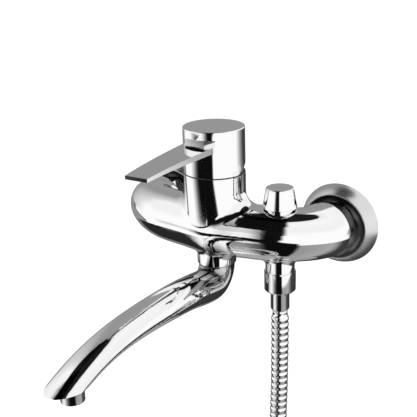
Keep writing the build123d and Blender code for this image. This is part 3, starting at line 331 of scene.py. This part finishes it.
def group_tree(name, inputs, outputs):
    """A shader node group with its sockets, and its two end nodes."""
    tree = bpy.data.node_groups.new(name, "ShaderNodeTree")
    for label, kind, default in inputs:
        socket = tree.interface.new_socket(name=label, in_out="INPUT", socket_type=kind)
        if default is not None:
            socket.default_value = default
    for label, kind in outputs:
        tree.interface.new_socket(name=label, in_out="OUTPUT", socket_type=kind)
    return tree, tree.nodes.new("NodeGroupInput"), tree.nodes.new("NodeGroupOutput")


def marks_and_painted_shade():
    """Soft smudges and fine wiping lines that move the gloss and the surface a little, and
    painted shade: how dark the colour is painted, by how shut in a place is within the reach."""
    name = "handling marks"
    if name in bpy.data.node_groups:
        return bpy.data.node_groups[name]
    tree, start, end = group_tree(
        name,
        [("Position", "NodeSocketVector", None), ("Smudge Scale", "NodeSocketFloat", 40.0),
         ("Line Scale", "NodeSocketFloat", 900.0), ("Gloss Low", "NodeSocketFloat", 0.02),
         ("Gloss High", "NodeSocketFloat", 0.07), ("Shade Strength", "NodeSocketFloat", 0.0),
         ("Shade Reach", "NodeSocketFloat", 0.01)],
        [("Roughness", "NodeSocketFloat"), ("Height", "NodeSocketFloat"),
         ("Painted Shade", "NodeSocketFloat")])
    link = tree.links.new
    # Painted shade: ambient occlusion gives how shut in a place is, and that darkens the colour
    open_share = add_node(tree, "ShaderNodeAmbientOcclusion", samples=PAINTED_SHADE_RAYS)
    shut = add_node(tree, "ShaderNodeMapRange", From_Min=PAINTED_SHADE_RANGE[0], From_Max=PAINTED_SHADE_RANGE[1])
    painted_shade = add_node(tree, "ShaderNodeMath", operation="MULTIPLY")
    link(start.outputs["Shade Reach"], open_share.inputs["Distance"])
    link(open_share.outputs["AO"], shut.inputs["Value"])
    link(shut.outputs[0], painted_shade.inputs[0])
    link(start.outputs["Shade Strength"], painted_shade.inputs[1])
    link(painted_shade.outputs[0], end.inputs["Painted Shade"])
    smudge = add_node(tree, "ShaderNodeTexNoise", Detail=4.0, Roughness=0.55)
    link(start.outputs["Position"], smudge.inputs["Vector"])
    link(start.outputs["Smudge Scale"], smudge.inputs["Scale"])
    stretch = add_node(tree, "ShaderNodeVectorMath", operation="MULTIPLY")
    stretch.inputs[1].default_value = LINE_STRETCH
    link(start.outputs["Position"], stretch.inputs[0])
    lines = add_node(tree, "ShaderNodeTexNoise", Detail=2.0)
    link(stretch.outputs[0], lines.inputs["Vector"])
    link(start.outputs["Line Scale"], lines.inputs["Scale"])
    gloss = add_node(tree, "ShaderNodeMapRange", From_Min=NOISE_RANGE[0],
                     From_Max=NOISE_RANGE[1])
    link(smudge.outputs[0], gloss.inputs["Value"])
    link(start.outputs["Gloss Low"], gloss.inputs["To Min"])
    link(start.outputs["Gloss High"], gloss.inputs["To Max"])
    height = add_node(tree, "ShaderNodeMath", operation="MULTIPLY_ADD")
    height.inputs[1].default_value = LINE_HEIGHT
    link(lines.outputs[0], height.inputs[0])
    link(smudge.outputs[0], height.inputs[2])
    link(gloss.outputs[0], end.inputs["Roughness"])
    link(height.outputs[0], end.inputs["Height"])
    return tree


def moulded_grain():
    """Fine even grain with a slow change of tone, as on plastic, rubber and ceramic."""
    name = "moulded grain"
    if name in bpy.data.node_groups:
        return bpy.data.node_groups[name]
    tree, start, end = group_tree(
        name,
        [("Position", "NodeSocketVector", None), ("Dark", "NodeSocketColor", None),
         ("Light", "NodeSocketColor", None), ("Grain Scale", "NodeSocketFloat", 2500.0)],
        [("Colour", "NodeSocketColor"), ("Height", "NodeSocketFloat")])
    link = tree.links.new
    slow = add_node(tree, "ShaderNodeTexNoise", Scale=120.0, Detail=3.0)
    grain = add_node(tree, "ShaderNodeTexNoise", Detail=3.0)
    tone = add_node(tree, "ShaderNodeMix", data_type="RGBA")
    link(start.outputs["Position"], slow.inputs["Vector"])
    link(start.outputs["Position"], grain.inputs["Vector"])
    link(start.outputs["Grain Scale"], grain.inputs["Scale"])
    link(slow.outputs[0], tone.inputs[MIX_SHARE])
    link(start.outputs["Dark"], tone.inputs[MIX_FIRST])
    link(start.outputs["Light"], tone.inputs[MIX_SECOND])
    link(tone.outputs[MIX_RESULT], end.inputs["Colour"])
    link(grain.outputs[0], end.inputs["Height"])
    return tree


def empty_material(name):
    """A material without nodes, and its node tree."""
    material = bpy.data.materials.new(name)
    material.use_nodes = True
    material.node_tree.nodes.clear()
    return material, material.node_tree


def surface_material(name):
    """A material, its node tree and its surface shader."""
    material, tree = empty_material(name)
    output = tree.nodes.new("ShaderNodeOutputMaterial")
    shader = tree.nodes.new("ShaderNodeBsdfPrincipled")
    tree.links.new(shader.outputs[0], output.inputs["Surface"])
    return material, tree, shader


def metal(name, colour, low, high, smudge_scale=40.0, line_scale=900.0, relief=0.02,
          painted_shade=0.0, shade_reach=0.01):
    """Metal whose gloss wanders between low and high roughness, with a faint relief; where
    something stands within the shade's reach, in metres, its colour is darkened by painted shade
    of the given strength."""
    material, tree, shader = surface_material(name)
    shader.inputs["Metallic"].default_value = 1
    place = tree.nodes.new("ShaderNodeTexCoord")
    # The colour is mixed towards a darker copy of itself by the painted shade
    tone = add_node(tree, "ShaderNodeMix", data_type="RGBA")
    tone.inputs[MIX_FIRST].default_value = (*colour, 1)
    tone.inputs[MIX_SECOND].default_value = (*[c * PAINTED_SHADE_SHARE for c in colour], 1)
    marks = add_node(tree, "ShaderNodeGroup", node_tree=marks_and_painted_shade())
    for key, value in (("Smudge Scale", smudge_scale), ("Line Scale", line_scale),
                       ("Gloss Low", low), ("Gloss High", high), ("Shade Strength", painted_shade),
                       ("Shade Reach", shade_reach)):
        marks.inputs[key].default_value = value
    bump = add_node(tree, "ShaderNodeBump", Strength=relief, Distance=METAL_RELIEF)
    link = tree.links.new
    link(place.outputs["Object"], marks.inputs["Position"])
    link(marks.outputs["Painted Shade"], tone.inputs[MIX_SHARE])
    link(tone.outputs[MIX_RESULT], shader.inputs["Base Color"])
    link(marks.outputs["Roughness"], shader.inputs["Roughness"])
    link(marks.outputs["Height"], bump.inputs["Height"])
    link(bump.outputs["Normal"], shader.inputs["Normal"])
    return material


def moulding(name, colour, roughness, grain_scale=2500.0, relief=0.15, contrast=0.12):
    """Plastic, rubber or ceramic with a fine grain and a slow change of tone."""
    material, tree, shader = surface_material(name)
    shader.inputs["Roughness"].default_value = roughness
    place = tree.nodes.new("ShaderNodeTexCoord")
    grain = add_node(tree, "ShaderNodeGroup", node_tree=moulded_grain())
    grain.inputs["Dark"].default_value = (*[c * (1 - contrast) for c in colour], 1)
    grain.inputs["Light"].default_value = (*[min(1, c * (1 + contrast)) for c in colour], 1)
    grain.inputs["Grain Scale"].default_value = grain_scale
    bump = add_node(tree, "ShaderNodeBump", Strength=relief, Distance=MOULDED_RELIEF)
    link = tree.links.new
    link(place.outputs["Object"], grain.inputs["Position"])
    link(grain.outputs["Colour"], shader.inputs["Base Color"])
    link(grain.outputs["Height"], bump.inputs["Height"])
    link(bump.outputs["Normal"], shader.inputs["Normal"])
    return material


def coat(nodes, material):
    """Puts one material on every slot of the named nodes."""
    for name in nodes:
        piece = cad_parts[name]
        if not piece.material_slots:
            piece.data.materials.append(material)
        for slot in piece.material_slots:
            slot.material = material


def finish_of(node):
    """The material that a node of the frame wears."""
    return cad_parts[node].material_slots[0].material


# Mesh helpers
def grid_mesh(name, points, loop=False, caps=False):
    """A mesh from a grid of points, rows along and columns round: the last column joins the
    first, loop also joins the last row to the first, and caps shut both end rows."""
    rows, columns = points.shape[:2]
    index = np.arange(rows * columns).reshape(rows, columns)
    ends = [index[0, ::-1].tolist(), index[-1].tolist()] if caps else []
    if loop:
        index = np.concatenate([index, index[:1]])
    across = np.roll(index, -1, axis=1)
    faces = np.stack([index[:-1], across[:-1], across[1:], index[1:]], axis=-1).reshape(-1, 4)
    mesh = bpy.data.meshes.new(name)
    mesh.from_pydata(points.reshape(-1, 3).tolist(), [], faces.tolist() + ends)
    smooth = np.arange(len(mesh.polygons)) < len(faces)
    mesh.polygons.foreach_set("use_smooth", smooth)
    mesh.update()
    piece = bpy.data.objects.new(name, mesh)
    bpy.context.scene.collection.objects.link(piece)
    return piece


def middle(low, high):
    """The point halfway between two corners of a box."""
    return (np.array(low) + np.array(high)) / 2


def turned_rings(section, columns, centre=(0.0, 0.0)):
    """Rings of points from pairs of radius and height: x is the centre's plus the radius times
    the cosine of the turn, y is the centre's plus the radius times its sine, z is the height."""
    section = np.array(section)
    turn = np.linspace(0, 2 * np.pi, columns, endpoint=False)
    reach = section[:, :1]
    return np.stack([
        centre[0] + reach * np.cos(turn),
        centre[1] + reach * np.sin(turn),
        np.broadcast_to(section[:, 1:], (len(section), columns))], axis=-1)


def spline_points(name, route):
    """The points of a smooth NURBS line that begins and ends on a route's control points and
    is drawn towards the others."""
    curve = bpy.data.curves.new(name, "CURVE")
    curve.dimensions = "3D"
    curve.resolution_u = LINE_STEPS
    spline = curve.splines.new("NURBS")
    spline.points.add(len(route) - 1)
    for point, place in zip(spline.points, route):
        point.co = (*place, 1)
    spline.order_u = LINE_ORDER
    spline.use_endpoint_u = True
    holder = bpy.data.objects.new(name, curve)
    mesh = bpy.data.meshes.new_from_object(holder)
    points = np.empty(len(mesh.vertices) * 3)
    mesh.vertices.foreach_get("co", points)
    bpy.data.objects.remove(holder)
    bpy.data.curves.remove(curve)
    bpy.data.meshes.remove(mesh)
    return points.reshape(-1, 3)


def walk(line, stations):
    """Places on a line at the given distances from its start: each is the straight mix of the
    two points of the line that it lies between."""
    steps = np.linalg.norm(np.diff(line, axis=0), axis=1)
    distance = np.concatenate([[0], np.cumsum(steps)])
    return np.stack([np.interp(stations, distance, line[:, axis]) for axis in range(3)], axis=1)


def tube_frames(line):
    """Two directions square to a line at each point. Down the drop, which keeps its x, the
    second is the cross product of the heading and X; along the coil it is Z made square to the
    heading, and both rules agree where the parts meet. The first is second cross heading."""
    heading = np.gradient(line, axis=0)
    heading /= np.linalg.norm(heading, axis=1)[:, None]
    on_drop = np.arange(len(line)) < np.argmax(abs(line[:, 0] - line[0, 0]) > SAME_X)
    second = np.where(on_drop[:, None], np.cross(heading, [1.0, 0.0, 0.0]),
                      np.array([0.0, 0.0, 1.0]) - heading[:, 2:] * heading)
    second /= np.linalg.norm(second, axis=1)[:, None]
    return np.cross(second, heading), second


def carried_tube(name, line, radius, around, frames):
    """A closed tube: each ring is the line's point plus radius times the cosine of the turn
    in one square direction plus radius times its sine in the other; both ends are shut."""
    first, second = frames
    turn = np.linspace(0, 2 * np.pi, around, endpoint=False)
    ring = (np.cos(turn)[None, :, None] * first[:, None, :]
            + np.sin(turn)[None, :, None] * second[:, None, :])
    reach = np.broadcast_to(radius, len(line))
    return grid_mesh(name, line[:, None, :] + reach[:, None, None] * ring, caps=True)


def hose_route(sizes):
    """Control points of the hose: the drop, then a flat spiral whose radius grows with its
    turn, that comes in over its own turns and lifts a little at its end for the thick nut."""
    low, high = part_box("hose_sleeve")
    start = middle(low, high)
    start[2] = low[2]
    drop = [start + np.array([0, forward, down]) for forward, down in HOSE_DROP]
    step = 2 * np.pi / sizes.points_per_turn
    count = int(round(sizes.coil_turns * sizes.points_per_turn))
    turn = step * np.arange(1, count + 1)
    # Halfway, a quadratic line takes 3/4 of a control point and 1/8 of each neighbour, so the
    # control points lie outside it by this share
    outside = 1 / (0.75 + 0.25 * np.cos(step))
    radius = outside * (sizes.coil_start_radius + sizes.coil_pitch * turn / (2 * np.pi))
    entry = drop[-1] + np.array([0, -sizes.diameter, 0])
    centre = entry - np.array([sizes.coil_start_radius, 0, 0])
    sunk = np.where(turn < np.pi, (1 - np.cos(turn)) / 2, 1)
    low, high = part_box("end_sleeve")
    end = middle(low, high)
    end[1] = low[1]
    rise = end[2] - (entry[2] - sizes.coil_pitch)
    last = turn - turn[-1] + np.pi / 2
    lifted = np.where(last > 0, (1 - np.cos(last)) * rise * COIL_RISE, 0)
    spiral = np.stack([centre[0] + radius * np.cos(turn),
                       centre[1] - radius * np.sin(turn),
                       entry[2] - sizes.coil_pitch * sunk + lifted], axis=1)
    straight = np.array([0, 2 * sizes.diameter, 0])
    return np.concatenate([drop, [entry], spiral[:-1], [end - straight, end]])


def rib_profile(sizes, length):
    """Distances along the hose and radii there: each rib is a faintly domed crown between two
    short flanks, one pitch after the other, and the first and last stretch stay plain."""
    count = int(length / sizes.rib_pitch) - PLAIN_RIBS
    plain = (length - count * sizes.rib_pitch) / 2
    root = sizes.diameter / 2 - sizes.rib_depth
    places = np.arange(count)[:, None] + RIB_PLACES[None, :]
    stations = (plain + places * sizes.rib_pitch).ravel()
    radii = np.tile(root + RIB_HEIGHTS * sizes.rib_depth, count)
    stations = np.concatenate([[0, plain / 2], stations, [length - plain, length]])
    radii = np.concatenate([[root, root], radii, [root, root]])
    return stations, radii


class MIXER_OT_cast_chrome(bpy.types.Operator):
    """Mirror plating on the castings, the spout and the turned outer pieces; the spout's colour
    carries painted shade where its neck meets the body."""

    bl_idname = "mixer.cast_chrome"
    bl_label = "Cast chrome"

    def execute(self, context):
        colour = context.scene.finish_colours.chrome
        gloss = {"low": 0.035, "high": 0.07}
        coat(CAST_CHROME, metal("polished_chrome", colour, **gloss))
        # The spout's colour is darkened by painted shade near the body
        coat(SPOUT_CHROME, metal("spout_chrome", colour, painted_shade=1.5, shade_reach=0.07, **gloss))
        return {"FINISHED"}


class MIXER_OT_sheet_chrome(bpy.types.Operator):
    """Satin plated sheet on the rosettes, with painted shade deep in their dishes."""

    bl_idname = "mixer.sheet_chrome"
    bl_label = "Sheet chrome"

    def execute(self, context):
        colour = context.scene.finish_colours.satin_chrome
        # The rosettes' colour is darkened by painted shade deep in their dishes
        coat(SHEET_CHROME, metal(
            "plated_sheet", colour, low=0.28, high=0.34, smudge_scale=60.0, painted_shade=0.95,
            shade_reach=0.03))
        return {"FINISHED"}


class MIXER_OT_turned_parts(bpy.types.Operator):
    """Bare brass and stainless steel inside the mixer."""

    bl_idname = "mixer.turned_parts"
    bl_label = "Turned parts"

    def execute(self, context):
        colours = context.scene.finish_colours
        coat(TURNED_BRASS, metal(
            "turned_brass", colours.brass, low=0.18, high=0.32, smudge_scale=90.0,
            line_scale=1500.0, relief=0.1))
        coat(STEEL_PARTS, metal(
            "plain_steel", colours.steel, low=0.2, high=0.34, smudge_scale=120.0,
            line_scale=2000.0, relief=0.1))
        return {"FINISHED"}


class MIXER_OT_cartridge(bpy.types.Operator):
    """Ceramic discs and moulded pieces of the cartridge and the valves."""

    bl_idname = "mixer.cartridge"
    bl_label = "Cartridge"

    def execute(self, context):
        colours = context.scene.finish_colours
        coat(CERAMIC_DISCS, moulding(
            "lapped_ceramic", colours.ceramic, roughness=0.16, grain_scale=4000.0, relief=0.05,
            contrast=0.04))
        coat(WHITE_MOULDINGS, moulding(
            "white_acetal", colours.moulding, roughness=0.42, grain_scale=2600.0, relief=0.12,
            contrast=0.05))
        coat(GREY_MOULDINGS, moulding(
            "dark_moulding", colours.grey, roughness=0.38, grain_scale=2200.0, contrast=0.3))
        return {"FINISHED"}


class MIXER_OT_seals(bpy.types.Operator):
    """Rubber seals, fibre washers and the strap round the coil."""

    bl_idname = "mixer.seals"
    bl_label = "Seals"

    def execute(self, context):
        colours = context.scene.finish_colours
        coat(RUBBER_PARTS, moulding(
            "black_rubber", colours.rubber, roughness=0.6, grain_scale=1800.0, relief=0.3,
            contrast=0.35))
        coat(FIBRE_WASHERS, moulding(
            "pressed_fibre", colours.fibre, roughness=0.85, grain_scale=1400.0, relief=0.5,
            contrast=0.3))
        return {"FINISHED"}


class MIXER_OT_outlet_collar(bpy.types.Operator):
    """The narrow collar that carries the spout's outlet down past its rim: an upright section
    with broken lower edges, turned all the way round the axis."""

    bl_idname = "mixer.outlet_collar"
    bl_label = "Outlet collar"

    def execute(self, context):
        sizes = context.scene.collar_sizes
        low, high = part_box("aerator_insert")
        edge = sizes.edge
        outside = sizes.radius
        inside = outside - sizes.wall
        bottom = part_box("spout")[0].z - sizes.proud
        top = low.z + edge
        section = [
            (outside, bottom + edge), (outside, top), (inside, top), (inside, bottom + edge),
            (inside + edge, bottom), (outside - edge, bottom)]
        rings = turned_rings(section, sizes.around, middle(low, high))
        collar = grid_mesh("outlet_collar", rings, loop=True)
        smooth = np.zeros(len(collar.data.polygons), dtype=bool)
        collar.data.polygons.foreach_set("use_smooth", smooth)
        collar.data.materials.append(finish_of("spout"))
        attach(collar, "spout_body")
        return {"FINISHED"}


class MIXER_OT_return_spring(bpy.types.Operator):
    """The diverter's return spring, which shortens as the knob rises: a wire carried along a
    helix. One of its square directions points away from the axis, and the other is the cross
    product of the heading and the first."""

    bl_idname = "mixer.return_spring"
    bl_label = "Return spring"

    def execute(self, context):
        sizes = context.scene.spring_sizes
        low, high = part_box("diverter_spring")
        wire = sizes.wire / 2
        reach = (high.x - low.x) / 2 - wire
        share = np.linspace(0, 1, sizes.points)
        turn = 2 * np.pi * sizes.turns * share
        away = np.stack([np.cos(turn), np.sin(turn), np.zeros(len(turn))], axis=1)
        base = middle(low, high)
        base[2] = low.z + wire
        line = base + reach * away
        line[:, 2] += (high.z - low.z - sizes.wire) * share
        heading = np.gradient(line, axis=0)
        heading /= np.linalg.norm(heading, axis=1)[:, None]
        spring = carried_tube("return_spring", line, wire, sizes.around,
                              (away, np.cross(heading, away)))
        spring.data.materials.append(finish_of("diverter_spring"))
        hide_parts("diverter_spring")
        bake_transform(spring)
        return {"FINISHED"}


class MIXER_OT_hose(bpy.types.Operator):
    """The ribbed shower hose with its drop and its coil."""

    bl_idname = "mixer.hose"
    bl_label = "Shower hose"

    def execute(self, context):
        sizes = context.scene.hose_sizes
        line = spline_points("hose_route", hose_route(sizes))
        steps = np.linalg.norm(np.diff(line, axis=0), axis=1)
        stations, radii = rib_profile(sizes, float(steps.sum()))
        path = walk(line, stations)
        hose = carried_tube("ribbed_hose", path, radii, sizes.around, tube_frames(path))
        # The hose's colour is darkened by painted shade between its turns and near other parts
        hose.data.materials.append(metal(
            "wound_chrome", context.scene.finish_colours.chrome, low=0.08, high=0.16,
            smudge_scale=300.0, line_scale=2000.0, painted_shade=1.0, shade_reach=0.005))
        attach(hose, "mixer_body")
        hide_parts("hose_drop", "hose_coil")
        return {"FINISHED"}


# Studio
def grey_ramp(tree, stops):
    """A colour ramp of greys from pairs of place and value."""
    ramp = tree.nodes.new("ShaderNodeValToRGB")
    elements = ramp.color_ramp.elements
    elements.remove(elements[1])
    for i, (place, value) in enumerate(stops):
        element = elements.new(place) if i else elements[0]
        element.position = place
        element.color = (value, value, value, 1)
    return ramp


def bearing(tree, turn):
    """A node tree's own compass, from the object coordinates of a stage piece round the tower:
    0.5 towards the camera, more to the camera's right, less to its left, 0 or 1 behind the
    object; and the node that splits those coordinates."""
    place = tree.nodes.new("ShaderNodeTexCoord")
    mapping = add_node(tree, "ShaderNodeMapping", vector_type="POINT")
    mapping.inputs["Rotation"].default_value = (0, 0, -turn)
    split = tree.nodes.new("ShaderNodeSeparateXYZ")
    compass = add_node(tree, "ShaderNodeMath", operation="ARCTAN2")
    share = add_node(tree, "ShaderNodeMapRange", From_Min=-math.pi, From_Max=math.pi)
    minus = add_node(tree, "ShaderNodeMath", operation="MULTIPLY")
    minus.inputs[1].default_value = -1
    link = tree.links.new
    link(place.outputs["Object"], mapping.inputs["Vector"])
    link(mapping.outputs[0], split.inputs[0])
    link(split.outputs["Y"], minus.inputs[0])
    link(split.outputs["X"], compass.inputs[0])
    link(minus.outputs[0], compass.inputs[1])
    link(compass.outputs[0], share.inputs["Value"])
    return share.outputs[0], split


def round_ramp(tree, share, tones):
    """The grey of one band of the tent, from its tones by degrees to the camera's right."""
    ramp = grey_ramp(tree, [((angle + 180) / 360, grey) for angle, grey in tones])
    tree.links.new(share, ramp.inputs[0])
    return ramp.outputs[0]


def tent_greys(tree, share, height):
    """The grey of the tent by direction: the ground ring's, and above the start of each band
    of the wall that band's."""
    link = tree.links.new
    slide = add_node(tree, "ShaderNodeMapRange", From_Min=SLIDE_HEIGHTS[0],
                     From_Max=SLIDE_HEIGHTS[1], To_Max=SLIDE / 360)
    turned = add_node(tree, "ShaderNodeMath", operation="SUBTRACT")
    link(height, slide.inputs["Value"])
    link(share, turned.inputs[0])
    link(slide.outputs[0], turned.inputs[1])
    greys = round_ramp(tree, share, GROUND_GREYS)
    for start, tones in WALL_GREYS:
        above = add_node(tree, "ShaderNodeMath", operation="GREATER_THAN")
        above.inputs[1].default_value = start
        pick = add_node(tree, "ShaderNodeMix", data_type="RGBA")
        link(height, above.inputs[0])
        link(above.outputs[0], pick.inputs[MIX_SHARE])
        link(greys, pick.inputs[MIX_FIRST])
        link(round_ramp(tree, turned.outputs[0], tones), pick.inputs[MIX_SECOND])
        greys = pick.outputs[MIX_RESULT]
    return greys


def tent_material(studio):
    """Cloth whose grey changes round the object and upwards, seen only in the metal."""
    material, tree = empty_material("tent_cloth")
    share, split = bearing(tree, studio.turn)
    bottom, top = HEIGHT_GREYS[0][0], HEIGHT_GREYS[-1][0]
    height = add_node(tree, "ShaderNodeMapRange", From_Min=bottom, From_Max=top)
    upwards = grey_ramp(
        tree, [((z - bottom) / (top - bottom), grey) for z, grey in HEIGHT_GREYS])
    shade = add_node(tree, "ShaderNodeMix", data_type="RGBA", blend_type="MULTIPLY")
    shade.inputs[MIX_SHARE].default_value = 1
    glow = tree.nodes.new("ShaderNodeEmission")
    output = tree.nodes.new("ShaderNodeOutputMaterial")
    link = tree.links.new
    link(split.outputs["Z"], height.inputs["Value"])
    link(height.outputs[0], upwards.inputs[0])
    link(tent_greys(tree, share, split.outputs["Z"]), shade.inputs[MIX_FIRST])
    link(upwards.outputs[0], shade.inputs[MIX_SECOND])
    link(shade.outputs[MIX_RESULT], glow.inputs["Color"])
    link(glow.outputs[0], output.inputs["Surface"])
    return material


def floor_material():
    """Pale matt floor that the camera sees as white outside the shadows."""
    material, tree, shader = surface_material("pale_floor")
    shader.inputs["Base Color"].default_value = (FLOOR_GREY, FLOOR_GREY, FLOOR_GREY, 1)
    shader.inputs["Roughness"].default_value = 0.9
    shader.inputs["Specular IOR Level"].default_value = 0.1
    shader.inputs["Emission Color"].default_value = (1, 1, 1, 1)
    rays = tree.nodes.new("ShaderNodeLightPath")
    lift = add_node(tree, "ShaderNodeMath", operation="MULTIPLY")
    lift.inputs[1].default_value = FLOOR_GLOW
    tree.links.new(rays.outputs["Is Camera Ray"], lift.inputs[0])
    tree.links.new(lift.outputs[0], shader.inputs["Emission Strength"])
    return material


def stage_piece(name, section, material):
    """A piece of the studio, turned round the tower from pairs of radius and height."""
    piece = grid_mesh(name, turned_rings(section, STAGE_COLUMNS))
    piece.data.materials.append(material)
    return piece


class MIXER_OT_stage(bpy.types.Operator):
    """Floor, light tent, lamp, world and camera."""

    bl_idname = "mixer.stage"
    bl_label = "Stage"

    def execute(self, context):
        studio = context.scene.studio_settings
        disc = [(radius, FLOOR_HEIGHT) for radius in FLOOR_RADII]
        stage_piece("floor", disc, floor_material())
        # The tent is a ring just above the floor, a wall of one radius and a ceiling
        ground = FLOOR_HEIGHT + RING_LIFT
        ceiling = FLOOR_HEIGHT + studio.tent_height
        outline = [(studio.ground_radius, ground), (studio.tent_radius, ground),
                   (studio.tent_radius, ceiling), (CENTRE_RADIUS, ceiling)]
        tent = stage_piece("light_tent", outline, tent_material(studio))
        tent.visible_camera = False
        tent.visible_shadow = False
        tent.visible_diffuse = False
        self.light(context, studio)
        self.camera(context, studio)
        context.scene.view_settings.view_transform = "Standard"
        return {"FINISHED"}

    def light(self, context, studio):
        """White all round for the camera, greys for everything else, and one wide lamp
        overhead that metal doesn't show."""
        world = bpy.data.worlds.new("studio")
        world.use_nodes = True
        context.scene.world = world
        tree = world.node_tree
        tree.nodes.clear()
        place = tree.nodes.new("ShaderNodeTexCoord")
        behind = add_node(tree, "ShaderNodeVectorMath", operation="DOT_PRODUCT")
        behind.inputs[1].default_value = (-math.sin(studio.turn), math.cos(studio.turn), 0.0)
        share = add_node(tree, "ShaderNodeMapRange", From_Min=-1.0, From_Max=1.0)
        ramp = grey_ramp(tree, WORLD_GREYS)
        rays = tree.nodes.new("ShaderNodeLightPath")
        pick = add_node(tree, "ShaderNodeMix", data_type="RGBA")
        pick.inputs[MIX_SECOND].default_value = (1, 1, 1, 1)
        back = add_node(tree, "ShaderNodeBackground", Strength=1.0)
        output = tree.nodes.new("ShaderNodeOutputWorld")
        link = tree.links.new
        link(place.outputs["Generated"], behind.inputs[0])
        link(behind.outputs["Value"], share.inputs["Value"])
        link(share.outputs[0], ramp.inputs[0])
        link(rays.outputs["Is Camera Ray"], pick.inputs[MIX_SHARE])
        link(ramp.outputs[0], pick.inputs[MIX_FIRST])
        link(pick.outputs[MIX_RESULT], back.inputs["Color"])
        link(back.outputs[0], output.inputs["Surface"])
        lamp = bpy.data.lights.new("overhead", "AREA")
        lamp.size = studio.lamp_size
        lamp.energy = studio.lamp_power
        holder = bpy.data.objects.new("overhead", lamp)
        holder.location = studio.lamp_place
        aim = Vector(studio.lamp_target) - holder.location
        holder.rotation_euler = aim.to_track_quat("-Z", "Y").to_euler()
        holder.visible_glossy = False
        context.scene.collection.objects.link(holder)

    def camera(self, context, studio):
        """The camera looks at its target from a turn, a tilt, a roll and a distance."""
        turn_cos, turn_sin = math.cos(studio.turn), math.sin(studio.turn)
        tilt_cos, tilt_sin = math.cos(studio.tilt), math.sin(studio.tilt)
        roll_cos, roll_sin = math.cos(studio.roll), math.sin(studio.roll)
        back = Vector((turn_sin * tilt_cos, -turn_cos * tilt_cos, tilt_sin))
        side = Vector((turn_cos, turn_sin, 0))
        up = Vector((-turn_sin * tilt_sin, turn_cos * tilt_sin, tilt_cos))
        right = side * roll_cos + up * roll_sin
        over = up * roll_cos - side * roll_sin
        camera = bpy.data.cameras.new("camera")
        camera.sensor_width = SENSOR_WIDTH
        camera.lens = studio.focal_pixels * camera.sensor_width / IMAGE_SIZE
        camera.shift_y = (studio.centre_down - IMAGE_SIZE / 2) / IMAGE_SIZE
        camera.clip_start = CLIP_START
        holder = bpy.data.objects.new("camera", camera)
        place = Vector(studio.target) + back * studio.distance
        holder.matrix_world = Matrix((
            (right.x, over.x, back.x, place.x), (right.y, over.y, back.y, place.y),
            (right.z, over.z, back.z, place.z), (0, 0, 0, 1)))
        context.scene.collection.objects.link(holder)
        context.scene.camera = holder


class MIXER_PT_panel(bpy.types.Panel):
    """The mixer's operators and settings in the sidebar."""

    bl_idname = "MIXER_PT_panel"
    bl_label = "Bath Mixer"
    bl_space_type = "VIEW_3D"
    bl_region_type = "UI"
    bl_category = "Bath Mixer"

    def draw(self, context):
        for operator in OPERATORS:
            self.layout.operator(operator.bl_idname)
        for setting in SETTINGS:
            group = getattr(context.scene, setting)
            box = self.layout.box()
            for name in group.__annotations__:
                box.prop(group, name)


SETTINGS = {
    "hose_sizes": HoseSizes,
    "collar_sizes": CollarSizes,
    "spring_sizes": SpringSizes,
    "finish_colours": FinishColours,
    "studio_settings": StudioSettings,
}
OPERATORS = (
    MIXER_OT_stage,
    MIXER_OT_cast_chrome,
    MIXER_OT_sheet_chrome,
    MIXER_OT_turned_parts,
    MIXER_OT_cartridge,
    MIXER_OT_seals,
    MIXER_OT_outlet_collar,
    MIXER_OT_return_spring,
    MIXER_OT_hose,
)


def register():
    """Makes the settings, the operators and the panel known."""
    for group in SETTINGS.values():
        bpy.utils.register_class(group)
    for operator in OPERATORS:
        bpy.utils.register_class(operator)
    bpy.utils.register_class(MIXER_PT_panel)
    for name, group in SETTINGS.items():
        setattr(bpy.types.Scene, name, bpy.props.PointerProperty(type=group))


def unregister():
    """Takes back what register did."""
    for name in SETTINGS:
        delattr(bpy.types.Scene, name)
    bpy.utils.unregister_class(MIXER_PT_panel)
    for operator in reversed(OPERATORS):
        bpy.utils.unregister_class(operator)
    for group in reversed(SETTINGS.values()):
        bpy.utils.unregister_class(group)


def main():
    """Dresses the mixer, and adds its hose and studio."""
    register()
    bpy.ops.mixer.stage()
    bpy.ops.mixer.cast_chrome()
    bpy.ops.mixer.sheet_chrome()
    bpy.ops.mixer.turned_parts()
    bpy.ops.mixer.cartridge()
    bpy.ops.mixer.seals()
    bpy.ops.mixer.outlet_collar()
    bpy.ops.mixer.return_spring()
    bpy.ops.mixer.hose()


if __name__ == "__main__":
    main()
